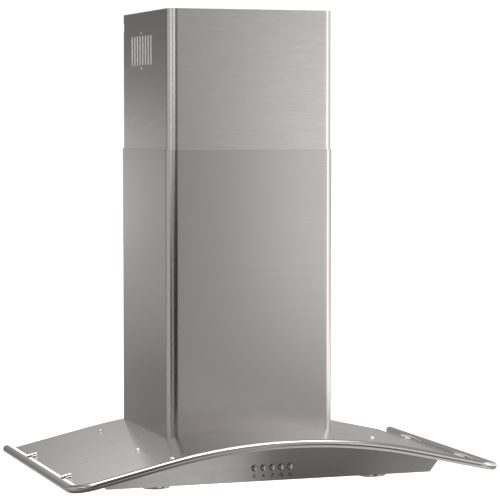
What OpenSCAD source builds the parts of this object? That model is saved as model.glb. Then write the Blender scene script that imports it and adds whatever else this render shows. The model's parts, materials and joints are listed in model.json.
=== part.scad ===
// Wall-mount chimney range hood with an arched canopy, a tubular rail and a two-part flue.
// Millimetres. The wall is the plane Y = 0, the room is on the -Y side, and Z = 0 is the
// bottom edge of the hood body on its centreline.

/* [Canopy] */
// Width over the two side rails
hood_width = 900; // [860:5:940]
// Depth from the wall to the front of the rail
hood_depth = 596; // [570:2:620]
// Height of the canopy's top surface on the centreline
crown_height = 88.5; // [84:0.5:94]
// Radius of the canopy's curved middle
arch_radius = 1180; // [1150:5:1250]
// Half width of the curved middle, beyond which the canopy runs straight
arch_half = 260; // [256:1:275]
// Thickness of the canopy sheet
sheet_t = 1.2; // [0.8:0.1:1.5]

/* [Rail] */
// Outer diameter of the rail tube
rail_d = 16; // [14:0.5:18]
// Wall of the rail tube
rail_wall = 1.2; // [0.8:0.1:2]
// Bend radius of the rail's corners on the tube's centre
rail_bend_r = 45; // [35:1:60]
// Height of the rail's centre above the canopy sheet
rail_lift = 3.5; // [3:0.25:4.5]
// Gap between the canopy's side edge and the side rail
rail_gap = 14; // [10:1:16]
// Distance from the wall to the rail's closed ends
rail_wall_gap = 2; // [1:0.5:10]
// Diameter of the posts that carry the side rails
post_d = 8; // [7:0.5:9]
// Length of a post from the rail inwards
post_len = 25; // [23:0.5:30]
// Distance of the rear posts from the wall
post_rear_y = 148; // [120:1:180]
// Distance of the front posts from the wall
post_front_y = 435; // [400:1:460]

/* [Body] */
// Inset of the body's bottom edge from the side rail's outside
body_side_inset = 106; // [100:1:112]
// Distance from the rail's front to the front panel
front_inset = 137; // [125:1:150]
// Outward lean of the body's ends, measured from upright
end_lean = 39; // [30:1:42]
// Thickness of the body panels
panel_t = 1.2; // [0.8:0.1:1.5]
// Spacing of the two hanging holes
hang_spacing = 400; // [360:5:440]
// Height of the hanging holes
hang_z = 48; // [44:1:52]
// Diameter of the hanging holes
hang_hole_d = 8; // [6:0.5:10]
// Spacing of the two lower locking holes
lock_spacing = 560; // [500:5:600]
// Height of the locking holes
lock_z = 16; // [14:1:20]
// Diameter of the locking holes
lock_hole_d = 6; // [4:0.5:7]

/* [Filters] */
// Distance from the body's ends to the filter openings
filter_end_gap = 14; // [13:0.5:30]
// Distance from the lamp housings to the filter openings
filter_lamp_gap = 14.6; // [13:0.2:30]
// Thickness of a filter frame
filter_t = 9; // [7:0.5:10]
// Width of the bar between the two filter openings
centre_bar = 12; // [10:1:20]
// Distance from the wall to the filter openings
filter_rear = 30; // [26:1:34]
// Gap around each filter in its opening
filter_gap = 1.5; // [1:0.1:2]
// Width of the frame's border around the mesh
filter_border = 18; // [16:1:24]
// Travel of a filter latch
latch_travel = 6; // [5:0.5:6]

/* [Lamps] */
// Distance of each lamp from the centreline
lamp_x = 232; // [200:2:260]
// Distance of the lamps behind the front panel
lamp_setback = 44; // [40:1:46]
// Outer diameter of a lamp's bezel
lamp_d = 60; // [56:1:64]
// How far a bezel stands below the body
lamp_drop = 8; // [6:0.5:10]

/* [Controls] */
// Spacing of the push buttons
button_pitch = 19; // [17:0.5:22]
// Diameter of a push button
button_d = 11.4; // [9:0.2:12]
// Height of the button row
button_z = 27; // [26:0.5:30]
// Travel of a push button
button_travel = 3; // [2:0.25:3]

/* [Chimney] */
// Width of the lower flue cover
flue_w = 360; // [350:1:370]
// Depth of the lower flue cover
flue_depth = 334; // [326:1:345]
// Outer radius of the flue covers' front corners
flue_corner_r = 21; // [12:1:24]
// Thickness of the flue sheet
flue_t = 1; // [0.8:0.1:1.2]
// Height of the top edge of the lower cover
seam_height = 662.5; // [640:0.5:700]
// Height of the top edge of the upper cover
top_height = 948; // [930:1:1000]
// Length of the upper cover
upper_length = 500; // [460:1:520]
// Side gap between the upper and the lower cover
slide_gap_side = 1.3; // [0.8:0.1:1.5]
// Front gap between the upper and the lower cover
slide_gap_front = 0.7; // [0.5:0.1:1]
// Number of vent slots on each side
vent_slots = 8; // [5:1:8]
// Spacing of the vent slots
vent_pitch = 20; // [16:1:21]
// Width of a vent slot
vent_slot_w = 10; // [6:0.5:11]
// Length of a vent slot
vent_slot_len = 63; // [50:1:66]
// Distance of the vent's middle from the wall
vent_y = 137; // [130:1:180]
// Distance of the vent's middle below the top edge
vent_down = 80; // [75:1:100]

/* [Blower] */
// Distance from the flue's sides to the blower box
box_side_gap = 30; // [26:1:35]
// Distance from the flue's front to the blower box
box_front_gap = 44; // [42:1:48]
// Distance from the wall to the blower box
box_wall_gap = 30; // [28:1:34]
// Height of the blower box's top
box_top = 350; // [345:1:370]
// Radius of the fan scroll
scroll_r = 95; // [92:1:97]
// Width of the fan scroll
scroll_w = 130; // [120:1:136]
// Radius of the fan wheel
wheel_r = 74; // [68:1:78]
// Number of fan blades
blade_count = 28; // [16:2:32]
// Radius of each fan inlet
inlet_r = 56; // [50:1:58]
// Diameter of the fan shaft
shaft_d = 8; // [6:0.5:9]
// Radius of the motor
motor_r = 42; // [36:1:44]
// Gap between the motor and the side of the blower box
motor_gap = 13; // [11:0.5:19]
// Outer diameter of the duct collar
collar_d = 150; // [140:1:152]
// Height of the duct collar
collar_h = 50; // [46:1:60]
// Diameter of the damper pin
damper_pin_d = 4; // [3:0.25:5]

/* [Hidden] */

// Facets of an ordinary curve and of the canopy's large curve
$fn = 48;
large_fn = 720;
// Gap between pieces that are fastened to each other
seat = 0.1;
// Radial clearance of a running fit
run_fit = 0.05;
// Overshoot of a cut beyond the face that it opens
cut = 2;
// Reach of a shape that the canopy's curve or a corner's round cuts out of
deep = 60;
// Overlap of two stretches that are joined into one solid
lap = 8;

// Canopy curve
tail_angle = asin(arch_half / arch_radius);
arch_centre_z = crown_height - arch_radius;
tail_z = arch_centre_z + arch_radius * cos(tail_angle);
rail_r = rail_d / 2;
rail_x = hood_width / 2 - rail_r;
rail_y = -(hood_depth - rail_r);
plate_half = rail_x - rail_r - rail_gap;
rail_clear = 0.3;
plate_front = rail_y + rail_r + rail_clear;
// Half the gap between two rail tubes inside their welded joint, and the weld's width
rail_joint = 0.05;
weld_w = 1;

// Holes in the canopy, for the large screws and for the small ones
canopy_hole_r = 2.2;
small_hole_r = 1.8;
// Margin of the blower box around the opening in the canopy
mouth_margin = 10;

// Body
body_half = hood_width / 2 - body_side_inset;
panel_y = -(hood_depth - front_inset);
// Screws through the canopy, into the nut plates and the front rail brackets: their insets
// from the body's ends, and the distances of their rows from wall, panel and canopy edge
screw_inset = 90;
bracket_inset = 112;
screw_rear = 80;
screw_setback = 94;
bracket_reach = 50;
screw_x = body_half - screw_inset;
screw_rear_y = -screw_rear;
screw_front_y = panel_y + screw_setback;
bracket_screw_x = body_half - bracket_inset;
bracket_screw_y = plate_front + bracket_reach;
panel_back = panel_y + panel_t;
lean_t = panel_t / cos(end_lean);
floor_half = body_half - lean_t - seat;
stiffener_t = 2;
// Reach of the stiffener beyond, below and above the hanging holes
stiffener_side = 30;
stiffener_down = 18;
stiffener_up = 14;

// Lamps
lamp_y = panel_y + lamp_setback;
lamp_r = lamp_d / 2;
bezel_wall = 1.4;
lamp_neck_r = lamp_r - 4.4;
lamp_lip_r = lamp_r - 8;
lamp_cup_r = lamp_neck_r + 1.6;
lamp_cup_h = 24;
lamp_wall = 1.2;
// Rounding of a bezel's lower edge
rim_r = 3;
// Lip below a lens, the lens's top, and the bulb and reflector measured from there
lens_lip = 1.5;
lens_top = -lamp_drop + 4;
bulb_r = 4;
bulb_low = 5;
bulb_base_r = 7;
bulb_base_low = 12;
reflector_t = 1.2;
reflector_h = 14;
reflector_neck = 3;

// Filters
filter_w = body_half - filter_end_gap - centre_bar / 2 - 2 * filter_gap;
filter_d = -lamp_y - lamp_cup_r - lamp_wall - filter_lamp_gap - filter_rear - 2 * filter_gap;
filter_x = centre_bar / 2 + filter_gap;
filter_y = -(filter_rear + filter_gap);
filter_z = 0.4;
latch_w = 46;
latch_t = 3;
latch_low = panel_t + 0.3;
// Length of a latch, play around it, and the slot that it slides back in
latch_len = 13;
latch_play = 0.3;
latch_slot = latch_len + latch_travel + 1;
latch_side = 8;
// Finger tab below a latch
finger_front = 7.5;
finger_rear = 11;
finger_drop = 3;
// Extra width of the frame's front border, which holds the latch
front_border = filter_border + 8;
// Rear tabs of a filter, which rest on the bottom panel
tab_w = 30;
tab_reach = 8;
tab_inset = 50;
tab_t = 1.5;
tab_z = panel_t + 0.6;
// Ribs pressed into the mesh, and the flat margins beside them
mesh_ribs = 11;
mesh_inset = 1.5;
rib_margin = 5;

// Controls: five buttons, of which the first and last are the power and lamp buttons
button_count = 5;
button_r = button_d / 2;
collar_wall = 0.9;
guide_t = 4;
guide_front = panel_back + seat;
guide_back = guide_front + guide_t;
button_flange_t = 1.6;
switch_front = guide_back + button_flange_t + button_travel + 2;
switch_depth = 22;
switch_h = 22;
stem_r = 2;

// Chimney
flue_half = flue_w / 2;
upper_half = flue_half - flue_t - slide_gap_side;
upper_depth = flue_depth - flue_t - slide_gap_front;
flue_rear = 0.3;
flange_w = 12;
upper_rear = flue_rear + flue_t + 0.7;
upper_bottom = top_height - upper_length;
upper_corner_r = flue_corner_r - flue_t - slide_gap_front;
vent_z = top_height - vent_down;
vent_span = (vent_slots - 1) * vent_pitch + vent_slot_w;
vent_screw_up = vent_slot_len / 2 + 5.5;
notch_h = 17;
notch_depth = 12;
notch_z = top_height - 35.5;
bracket_t = 1.5;
bracket_spacing = 220;
bracket_hole_d = 7;
// Feet of the lower cover: rows from the wall and from the cover's front, room for a foot
// beside the blower box, the screw's distance from the cover's inner face, the reach of the
// plate beyond the screw, its gap to that face, and the side's height above the canopy
foot_rear = 70;
foot_front = 64;
foot_rows = [-foot_rear, -flue_depth + foot_front];
foot_room = 13;
foot_inset = 8.5;
foot_toe = 4.3;
foot_edge = 0.6;
foot_lift = 0.9;
foot_l = 30;
foot_h = 24;
foot_t = 1.5;
foot_x = flue_half - flue_t - foot_inset;

// Blower
box_half = flue_half - box_side_gap;
box_rear = -box_wall_gap;
box_front = -flue_depth + box_front_gap;
box_t = 1.2;
box_flange = box_side_gap - flue_t - foot_room;
axle_y = box_rear - scroll_r - 10;
axle_z = box_top - scroll_r - 50;
scroll_t = 1.5;
scroll_half = scroll_w / 2;
outlet_depth = 88;
outlet_top = box_top - box_t - seat;
collar_y = axle_y - scroll_r + outlet_depth / 2;
collar_r = collar_d / 2;
collar_wall_t = 1.5;
shaft_r = shaft_d / 2;
ring_t = 1.5;
arm_x = scroll_half + scroll_t + ring_t + 4 * seat;
arm_t = 2;
arm_half = 5;
arm_count = 3;
// Ring of the motor bracket, and how far its straps reach along the motor
bracket_ring_w = 6;
strap_l = 16;
bolt_margin = 6;
bracket_bolt_r = inlet_r + 2 * bolt_margin;
bearing_l = 8;
motor_x = scroll_half + 16;
motor_len = box_half - motor_gap - motor_x;
motor_cap_t = 6;
flap_z = box_top + 14;
flap_r = collar_r - collar_wall_t - 1;
flap_t = 1;
// Ledge inside the collar that the closed flaps lie just above
ledge_w = 2;
ledge_t = 1.5;
ledge_z = flap_z - flap_t / 2 - 0.3;
pin_r = damper_pin_d / 2;
knuckle_r = pin_r + 1.6;
junction_w = 110;
junction_h = 80;
junction_t = 2;
junction_depth = 34;
junction_z = 190;
junction_x = -30;
gland_neck_r = 7;
gland_bore_r = 4;
capacitor_r = 15;
capacitor_h = 62;
capacitor_cap_r = 9;
capacitor_cap_h = 4;
capacitor_tag_x = 4;
capacitor_tag_r = 0.8;
capacitor_tag_h = 7;
capacitor_x = -box_half + 42;
capacitor_y = box_front - 17.5;

// Height of the canopy's top surface at a distance from the centreline
function arch_z(x) = abs(x) <= arch_half
    ? arch_centre_z + sqrt(arch_radius * arch_radius - x * x)
    : tail_z - (abs(x) - arch_half) * tan(tail_angle);

// Shared shapes

// Area below the canopy's curve, moved up by rise and cut off at half and low. The straight
// parts start a little inside the curve's ends, where their lines lie just above it.
module arch_area(rise, half, low) {
    r = arch_radius + rise;
    tx = r * sin(tail_angle);
    tz = arch_centre_z + r * cos(tail_angle);
    slope = tan(tail_angle);
    start_x = tx - lap;
    start_z = tz + lap * slope;
    end_z = tz - (half - tx) * slope;
    intersection() {
        translate([0, arch_centre_z]) circle(r = r, $fn = large_fn);
        translate([-tx + lap / 2, low]) square([2 * tx - lap, crown_height + rise + 1 - low]);
    }
    polygon([
        [-half, low],
        [half, low],
        [half, end_z],
        [start_x, start_z],
        [start_x, low + cut],
        [-start_x, low + cut],
        [-start_x, start_z],
        [-half, end_z]
    ]);
}

// Solid below the canopy's curve, from the front plane y0 to the rear plane y1
module arch_block(rise, half, low, y0, y1) {
    translate([0, y1, 0])
        rotate([90, 0, 0])
            linear_extrude(y1 - y0) arch_area(rise, half, low);
}

// Places children on the canopy at a distance from the centreline, with +Z along its normal
module on_arch(x, y) {
    turn = min(asin(abs(x) / arch_radius), tail_angle);
    along = max(abs(x) - arch_half, 0) / cos(tail_angle);
    translate([0, y, arch_centre_z])
        rotate([0, sign(x) * turn, 0])
            translate([sign(x) * along, 0, arch_radius]) children();
}

// Places children at the rail's right corner point, with +X along the canopy's straight part
module on_rail_corner() {
    r = arch_radius + rail_lift;
    corner_z = arch_centre_z + r * cos(tail_angle)
        - (rail_x - r * sin(tail_angle)) * tan(tail_angle);
    translate([rail_x, rail_y, corner_z])
        rotate([0, tail_angle, 0]) children();
}

// Draws children and their mirror image on the other side of the centreline
module both_sides() {
    children();
    mirror([1, 0, 0]) children();
}

// Upright cylinder that stops at z1
module post(r, z0, z1) {
    translate([0, 0, z0]) cylinder(r = r, h = z1 - z0);
}

// Cylinder along +X between two X values
module bar_x(r, x0, x1) {
    translate([x0, 0, 0]) rotate([0, 90, 0]) cylinder(r = r, h = x1 - x0);
}

// Cylinder along +Y between two Y values
module bar_y(r, y0, y1) {
    translate([0, y0, 0]) rotate([-90, 0, 0]) cylinder(r = r, h = y1 - y0);
}

// Block between two corners
module block(low, high) {
    translate(low) cube(high - low);
}

// Screw along Z with a domed head above z = 0
module dome_screw(head_r, head_h, shank_r, shank_len) {
    ball_r = (head_r * head_r + head_h * head_h) / (2 * head_h);
    intersection() {
        translate([0, 0, head_h - ball_r]) sphere(r = ball_r, $fn = 64);
        cylinder(r = head_r, h = head_h);
    }
    translate([0, 0, -shank_len]) cylinder(r = shank_r, h = shank_len);
}

// Body

// Outline of the body's front and back panels
module body_outline() {
    intersection() {
        arch_area(-sheet_t - seat, plate_half, -cut);
        polygon([
            [-body_half, 0],
            [body_half, 0],
            [body_half + crown_height * tan(end_lean), crown_height],
            [-body_half - crown_height * tan(end_lean), crown_height]
        ]);
    }
}

module canopy_skin() {
    color([0.78, 0.77, 0.75])
        difference() {
            arch_block(0, plate_half, -deep, plate_front, 0);
            arch_block(-sheet_t, plate_half + cut, -deep - cut, plate_front - cut, cut);
            block(
                [-box_half + mouth_margin, box_front + mouth_margin, 0],
                [box_half - mouth_margin, box_rear - mouth_margin, crown_height + cut]
            );
            both_sides()
                on_rail_corner()
                    difference() {
                        block([-rail_bend_r, -cut, -deep], [rail_r, rail_bend_r, deep]);
                        translate([-rail_bend_r, rail_bend_r, 0])
                            post(rail_bend_r - rail_r - rail_clear, -deep - cut, deep + cut);
                    }
            canopy_screw_places() post(canopy_hole_r, -8, cut);
            both_sides() post_places() translate([-post_screw_u(), 0, 0]) post(canopy_hole_r, -12, cut);
            foot_places() post(small_hole_r, -8, cut);
            blower_screw_places() post(small_hole_r, -8, cut);
        }
}

module panel_blank(y) {
    translate([0, y + panel_t, 0])
        rotate([90, 0, 0])
            linear_extrude(panel_t) body_outline();
}

module front_panel() {
    color([0.72, 0.71, 0.69])
        difference() {
            panel_blank(panel_y);
            button_places()
                bar_y(button_r + 2 * run_fit + collar_wall + seat, panel_y - cut, panel_back + cut);
        }
}

module side_panel() {
    translate([0, -panel_t - seat, 0])
        rotate([90, 0, 0])
            linear_extrude(-panel_y - 2 * panel_t - 2 * seat)
                intersection() {
                    arch_area(-sheet_t - seat, plate_half, -cut);
                    polygon([
                        [body_half - lean_t, 0],
                        [body_half, 0],
                        [body_half + crown_height * tan(end_lean), crown_height],
                        [body_half - lean_t + crown_height * tan(end_lean), crown_height]
                    ]);
                }
}

module left_side_panel() {
    color([0.7, 0.69, 0.67]) mirror([1, 0, 0]) side_panel();
}

module right_side_panel() {
    color([0.7, 0.69, 0.67]) side_panel();
}

module wall_holes(y0, y1) {
    for (s = [-1, 1]) {
        translate([s * hang_spacing / 2, 0, hang_z]) bar_y(hang_hole_d / 2, y0, y1);
        translate([s * lock_spacing / 2, 0, lock_z]) bar_y(lock_hole_d / 2, y0, y1);
    }
}

module back_panel() {
    color([0.66, 0.66, 0.66])
        difference() {
            panel_blank(-panel_t);
            wall_holes(-panel_t - cut, cut);
        }
}

module back_stiffener() {
    edge = hang_spacing / 2 + stiffener_side;
    top = min(hang_z + stiffener_up, arch_z(edge) - sheet_t - stiffener_t);
    color([0.6, 0.6, 0.6])
        difference() {
            block(
                [-edge, -panel_t - seat - stiffener_t, hang_z - stiffener_down],
                [edge, -panel_t - seat, top]
            );
            wall_holes(-panel_t - 3 * stiffener_t, 0);
        }
}

module bottom_panel() {
    color([0.74, 0.73, 0.71])
        difference() {
            block([-floor_half, panel_back + seat, 0], [floor_half, -panel_t - seat, panel_t]);
            both_sides() {
                block(
                    [centre_bar / 2, filter_y - filter_d - filter_gap, -cut],
                    [centre_bar / 2 + filter_w + 2 * filter_gap, -filter_rear, panel_t + cut]
                );
                translate([lamp_x, lamp_y, 0]) post(lamp_neck_r + seat, -cut, panel_t + cut);
            }
        }
}

// Places children where screws hold the canopy to the nut plates and the rail brackets
module canopy_screw_places() {
    for (s = [-1, 1]) {
        for (y = [screw_rear_y, screw_front_y])
            on_arch(s * screw_x, y) children();
        on_arch(s * bracket_screw_x, bracket_screw_y) children();
    }
}

module canopy_screws() {
    color([0.85, 0.85, 0.85])
        canopy_screw_places() translate([0, 0, seat]) dome_screw(5.4, 4.4, 1.95, 6.5);
}

module nut_plates() {
    color([0.6, 0.6, 0.6])
        for (s = [-1, 1], y = [screw_rear_y, screw_front_y])
            on_arch(s * screw_x, y)
                difference() {
                    block([-10, -14, -sheet_t - 0.3 - 4], [10, 14, -sheet_t - 0.3]);
                    post(2, -10, cut);
                }
}

// Rail

module tube_ring() {
    difference() {
        circle(r = rail_r, $fn = 48);
        circle(r = rail_r - rail_wall, $fn = 48);
    }
}

module rail_corner_side() {
    r = arch_radius + rail_lift;
    tail_len = (rail_x - r * sin(tail_angle)) / cos(tail_angle);
    side_len = -rail_y - rail_wall_gap - rail_r - rail_bend_r;
    on_rail_corner() {
        translate([-tail_len + rail_joint, 0, 0])
            rotate([0, 90, 0]) linear_extrude(tail_len - rail_joint - rail_bend_r) tube_ring();
        translate([-tail_len, 0, 0])
            difference() {
                bar_x(rail_r + rail_joint, -weld_w / 2, weld_w / 2);
                bar_x(rail_r - rail_wall - 2 * rail_joint, -weld_w, weld_w);
            }
        translate([-rail_bend_r, rail_bend_r, 0])
            rotate([0, 0, -90])
                rotate_extrude(angle = 90, $fn = 96) translate([rail_bend_r, 0]) tube_ring();
        translate([0, rail_bend_r, 0])
            rotate([-90, 0, 0]) linear_extrude(side_len) tube_ring();
        translate([0, rail_bend_r + side_len, 0]) sphere(r = rail_r);
    }
}

// The curved front tube and the two bent end tubes meet in welded joints
module hand_rail() {
    sweep = tail_angle - rail_joint / (arch_radius + rail_lift) * 180 / PI;
    color([0.82, 0.81, 0.79]) {
        translate([0, rail_y, arch_centre_z])
            rotate([90, 0, 0])
                rotate([0, 0, 90 - sweep])
                    rotate_extrude(angle = 2 * sweep, $fn = large_fn)
                        translate([arch_radius + rail_lift, 0]) tube_ring();
        both_sides() rail_corner_side();
    }
}

// Distance from the rail's centre to the screw in a post
function post_screw_u() = rail_r + post_len - 4.5;

// Places children on the canopy's right edge at each post, under the post's axis
module post_places() {
    on_rail_corner()
        for (y = [post_rear_y, post_front_y])
            translate([0, -rail_y - y, -rail_lift]) children();
}

module rail_posts() {
    color([0.88, 0.87, 0.86])
        both_sides()
            post_places()
                difference() {
                    translate([0, 0, post_d / 2 + seat])
                        bar_x(post_d / 2, -rail_r - post_len, 0);
                    translate([0, 0, rail_lift]) bar_y(rail_r + seat, -post_d, post_d);
                    block([-rail_lift, -post_d, -post_d], [rail_r, post_d, 3 * post_d]);
                    translate([-post_screw_u(), 0, 0]) post(2, -cut, post_d - 2.5);
                }
}

module rail_screws() {
    color([0.7, 0.7, 0.72])
        both_sides()
            post_places()
                translate([-post_screw_u(), 0, -sheet_t - seat])
                    mirror([0, 0, 1])
                        dome_screw(3.8, 2.4, 1.95, post_d - 2.5);
}

module front_rail_brackets() {
    color([0.62, 0.62, 0.62])
        for (s = [-1, 1])
            difference() {
                on_arch(s * bracket_screw_x, bracket_screw_y)
                    block(
                        [-12, rail_y - bracket_screw_y, -sheet_t - 0.3 - 3],
                        [12, 14, -sheet_t - 0.3]
                    );
                on_arch(s * bracket_screw_x, rail_y)
                    translate([0, 0, rail_lift]) bar_x(rail_r + 0.25, -20, 20);
                on_arch(s * bracket_screw_x, bracket_screw_y) post(2, -10, cut);
            }
}

// Filters

module filter_frame() {
    bar_half = latch_w / 2 + 1;
    difference() {
        union() {
            block(
                [filter_x, filter_y - filter_d, filter_z],
                [filter_x + filter_w, filter_y, filter_z + filter_t]
            );
            for (x = [filter_x + tab_inset, filter_x + filter_w - tab_inset - tab_w])
                block([x, filter_y - cut, tab_z], [x + tab_w, filter_y + tab_reach, tab_z + tab_t]);
        }
        block(
            [filter_x + filter_border, filter_y - filter_d + front_border, -cut],
            [filter_x + filter_w - filter_border, filter_y - filter_border, filter_z + filter_t + cut]
        );
        translate([filter_x + filter_w / 2, filter_y - filter_d, 0]) {
            block(
                [-bar_half, -cut, latch_low - latch_play],
                [bar_half, latch_slot, latch_low + latch_t + latch_play]
            );
            block(
                [-bar_half + latch_side, finger_front - 1.5, -cut],
                [bar_half - latch_side, latch_slot, latch_low]
            );
        }
    }
}

module filter_mesh() {
    x0 = filter_x + filter_border + seat;
    x1 = filter_x + filter_w - filter_border - seat;
    y0 = filter_y - filter_d + front_border + seat;
    y1 = filter_y - filter_border - seat;
    mid_z = filter_z + filter_t / 2;
    web = 0.5;
    step = (x1 - x0) / mesh_ribs;
    difference() {
        block([x0, y0, filter_z + mesh_inset], [x1, y1, filter_z + filter_t - mesh_inset]);
        for (i = [0 : mesh_ribs - 1])
            block(
                [x0 + step * i + rib_margin, y0 + rib_margin, mid_z + web],
                [x0 + step * (i + 1) - rib_margin, y1 - rib_margin, filter_z + filter_t + cut]
            );
        for (i = [0 : mesh_ribs - 2])
            block(
                [x0 + step * (i + 0.5) + rib_margin, y0 + rib_margin, -cut],
                [x0 + step * (i + 1.5) - rib_margin, y1 - rib_margin, mid_z - web]
            );
    }
}

module filter_latch() {
    half = latch_w / 2;
    translate([filter_x + filter_w / 2, filter_y - filter_d, 0]) {
        block([-half, latch_play - filter_gap, latch_low], [half, latch_len, latch_low + latch_t]);
        block(
            [-half + latch_side, finger_front, -finger_drop],
            [half - latch_side, finger_rear, latch_low + latch_t]
        );
    }
}

module left_filter_frame() {
    color([0.62, 0.62, 0.62]) mirror([1, 0, 0]) filter_frame();
}

module left_filter_mesh() {
    color([0.75, 0.75, 0.75]) mirror([1, 0, 0]) filter_mesh();
}

module left_filter_latch() {
    color([0.3, 0.3, 0.3]) mirror([1, 0, 0]) filter_latch();
}

module right_filter_frame() {
    color([0.62, 0.62, 0.62]) filter_frame();
}

module right_filter_mesh() {
    color([0.75, 0.75, 0.75]) filter_mesh();
}

module right_filter_latch() {
    color([0.3, 0.3, 0.3]) filter_latch();
}

// Lamps

module lamp_places() {
    for (s = [-1, 1]) translate([s * lamp_x, lamp_y, 0]) children();
}

module lamp_housings() {
    color([0.25, 0.25, 0.25])
        lamp_places()
            difference() {
                post(lamp_cup_r + lamp_wall, panel_t + seat, lamp_cup_h);
                post(lamp_cup_r, -cut, lamp_cup_h - lamp_wall);
                post(3, 0, lamp_cup_h + cut);
            }
}

module lamp_bezels() {
    color([0.85, 0.85, 0.86])
        lamp_places()
            rotate_extrude($fn = 96)
                difference() {
                    union() {
                        translate([lamp_lip_r, -lamp_drop])
                            square([lamp_r - rim_r - lamp_lip_r, lamp_drop - seat]);
                        translate([lamp_lip_r, -lamp_drop + rim_r])
                            square([lamp_r - lamp_lip_r, lamp_drop - rim_r - seat]);
                        translate([lamp_r - rim_r, -lamp_drop + rim_r]) circle(r = rim_r);
                        translate([lamp_neck_r - bezel_wall, -seat - 1])
                            square([bezel_wall, lamp_cup_h / 2 + 1]);
                    }
                    translate([0, -lamp_drop + lens_lip])
                        square([lamp_neck_r - bezel_wall, lamp_cup_h]);
                }
}

module lamp_lenses() {
    color([0.9, 0.92, 0.9, 0.5])
        lamp_places()
            post(lamp_neck_r - bezel_wall - seat, -lamp_drop + lens_lip + seat, lens_top);
}

module lamp_reflectors() {
    rim = lamp_neck_r - bezel_wall - seat;
    z0 = lens_top + seat;
    z1 = z0 + reflector_h;
    neck_r = bulb_base_r + reflector_t;
    color([0.9, 0.9, 0.9])
        lamp_places()
            rotate_extrude()
                polygon([
                    [rim - reflector_t, z0], [rim, z0], [rim, z0 + reflector_t], [neck_r, z1],
                    [neck_r, z1 + reflector_neck], [bulb_base_r, z1 + reflector_neck],
                    [bulb_base_r, z1 - reflector_t / 2]
                ]);
}

module lamp_bulbs() {
    z0 = lens_top + seat;
    color([0.95, 0.93, 0.85])
        lamp_places() {
            translate([0, 0, z0 + bulb_low]) sphere(r = bulb_r);
            post(bulb_r, z0 + bulb_low, z0 + bulb_base_low);
            post(bulb_base_r - seat, z0 + bulb_base_low, lamp_cup_h - lamp_wall - seat);
        }
}

// Controls

module button_places() {
    for (i = [0 : button_count - 1])
        translate([(i - (button_count - 1) / 2) * button_pitch, 0, button_z]) children();
}

module button_guide() {
    half = (button_count - 1) / 2 * button_pitch + button_r + 4;
    color([0.12, 0.12, 0.12])
        difference() {
            union() {
                block([-half, guide_front, button_z - 10], [half, guide_back, button_z + 10]);
                button_places() bar_y(button_r + 2 * run_fit + collar_wall, panel_y - 0.6, guide_back);
            }
            button_places() bar_y(button_r + 2 * run_fit, panel_y - cut, guide_back + cut);
        }
}

module push_button(index) {
    front = panel_y - 4.2;
    dome_r = 7.5;
    color([0.86, 0.86, 0.87])
        translate([(index - (button_count - 1) / 2) * button_pitch, 0, button_z]) {
            intersection() {
                bar_y(button_r, front, guide_back + 0.2);
                translate([0, front + dome_r, 0]) sphere(r = dome_r, $fn = 96);
            }
            bar_y(button_r + 1.1, guide_back + 0.1, guide_back + 0.1 + button_flange_t);
            bar_y(stem_r, guide_back + 0.1, switch_front + 4);
        }
}

module light_button() {
    push_button(4);
}

module speed_one_button() {
    push_button(1);
}

module speed_two_button() {
    push_button(2);
}

module speed_three_button() {
    push_button(3);
}

module power_button() {
    push_button(0);
}

module switch_block() {
    half = (button_count - 1) / 2 * button_pitch + 9;
    color([0.9, 0.9, 0.88])
        difference() {
            block(
                [-half, switch_front, button_z - switch_h / 2],
                [half, switch_front + switch_depth, button_z + switch_h / 2]
            );
            button_places() bar_y(stem_r + 0.2, switch_front - cut, switch_front + 4 + button_travel + 1);
        }
}

module switch_bracket() {
    half = (button_count - 1) / 2 * button_pitch + 9;
    low = button_z - switch_h / 2 - seat;
    color([0.55, 0.55, 0.56]) {
        block([-half, guide_front, low - 12], [half, guide_front + panel_t, low]);
        block([-half, guide_front, low - panel_t], [half, switch_front + switch_depth, low]);
        block(
            [-half, switch_front + switch_depth + seat, low - panel_t],
            [half, switch_front + switch_depth + seat + panel_t, button_z + switch_h / 2]
        );
        block(
            [-half, switch_front + switch_depth - 1, low - panel_t],
            [half, switch_front + switch_depth + 1, low]
        );
    }
}

// Blower

module blower_box() {
    floor_z = arch_z(box_half + box_flange) - 10;
    color([0.68, 0.69, 0.7])
        difference() {
            union() {
                block([-box_half, box_front, floor_z], [box_half, box_rear, box_top]);
                intersection() {
                    arch_block(
                        seat + box_t, plate_half, -cut,
                        box_front - box_flange, box_rear + box_flange
                    );
                    block(
                        [-box_half - box_flange, box_front - box_flange, floor_z],
                        [box_half + box_flange, box_rear + box_flange, box_top]
                    );
                }
            }
            arch_block(seat, plate_half, -cut, box_front - 2 * box_flange, box_rear + 2 * box_flange);
            block(
                [-box_half + box_t, box_front + box_t, 0],
                [box_half - box_t, box_rear - box_t, box_top - box_t]
            );
            translate([0, collar_y, 0]) post(collar_r - collar_wall_t, box_top - 3 * box_t, box_top + cut);
            blower_screw_places() post(small_hole_r, -cut, 4);
        }
}

module blower_screw_places() {
    for (s = [-1, 1], y = [box_front - box_flange / 2, box_rear + box_flange / 2])
        on_arch(s * (box_half - 30), y) children();
}

module blower_screws() {
    color([0.75, 0.75, 0.76]) {
        blower_screw_places()
            translate([0, 0, 2 * seat + box_t]) dome_screw(3.2, 2, 1.7, 5);
        both_sides()
            translate([arm_x + arm_t + seat, axle_y, axle_z])
                bracket_bolt_places() rotate([0, 90, 0]) dome_screw(3.2, 2, 1.7, 7);
    }
}

// Outline of the scroll in the Y and Z directions, drawn with +X as -Y, reduced by inset
module scroll_outline(inset, top) {
    translate([-axle_y, axle_z]) circle(r = scroll_r - inset, $fn = 96);
    translate([-axle_y + scroll_r - outlet_depth + inset, axle_z])
        square([outlet_depth - 2 * inset, top - axle_z]);
}

module scroll_slab(x0, x1) {
    translate([x0, 0, 0])
        rotate([90, 0, -90])
            mirror([0, 0, 1])
                linear_extrude(x1 - x0) children();
}

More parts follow.
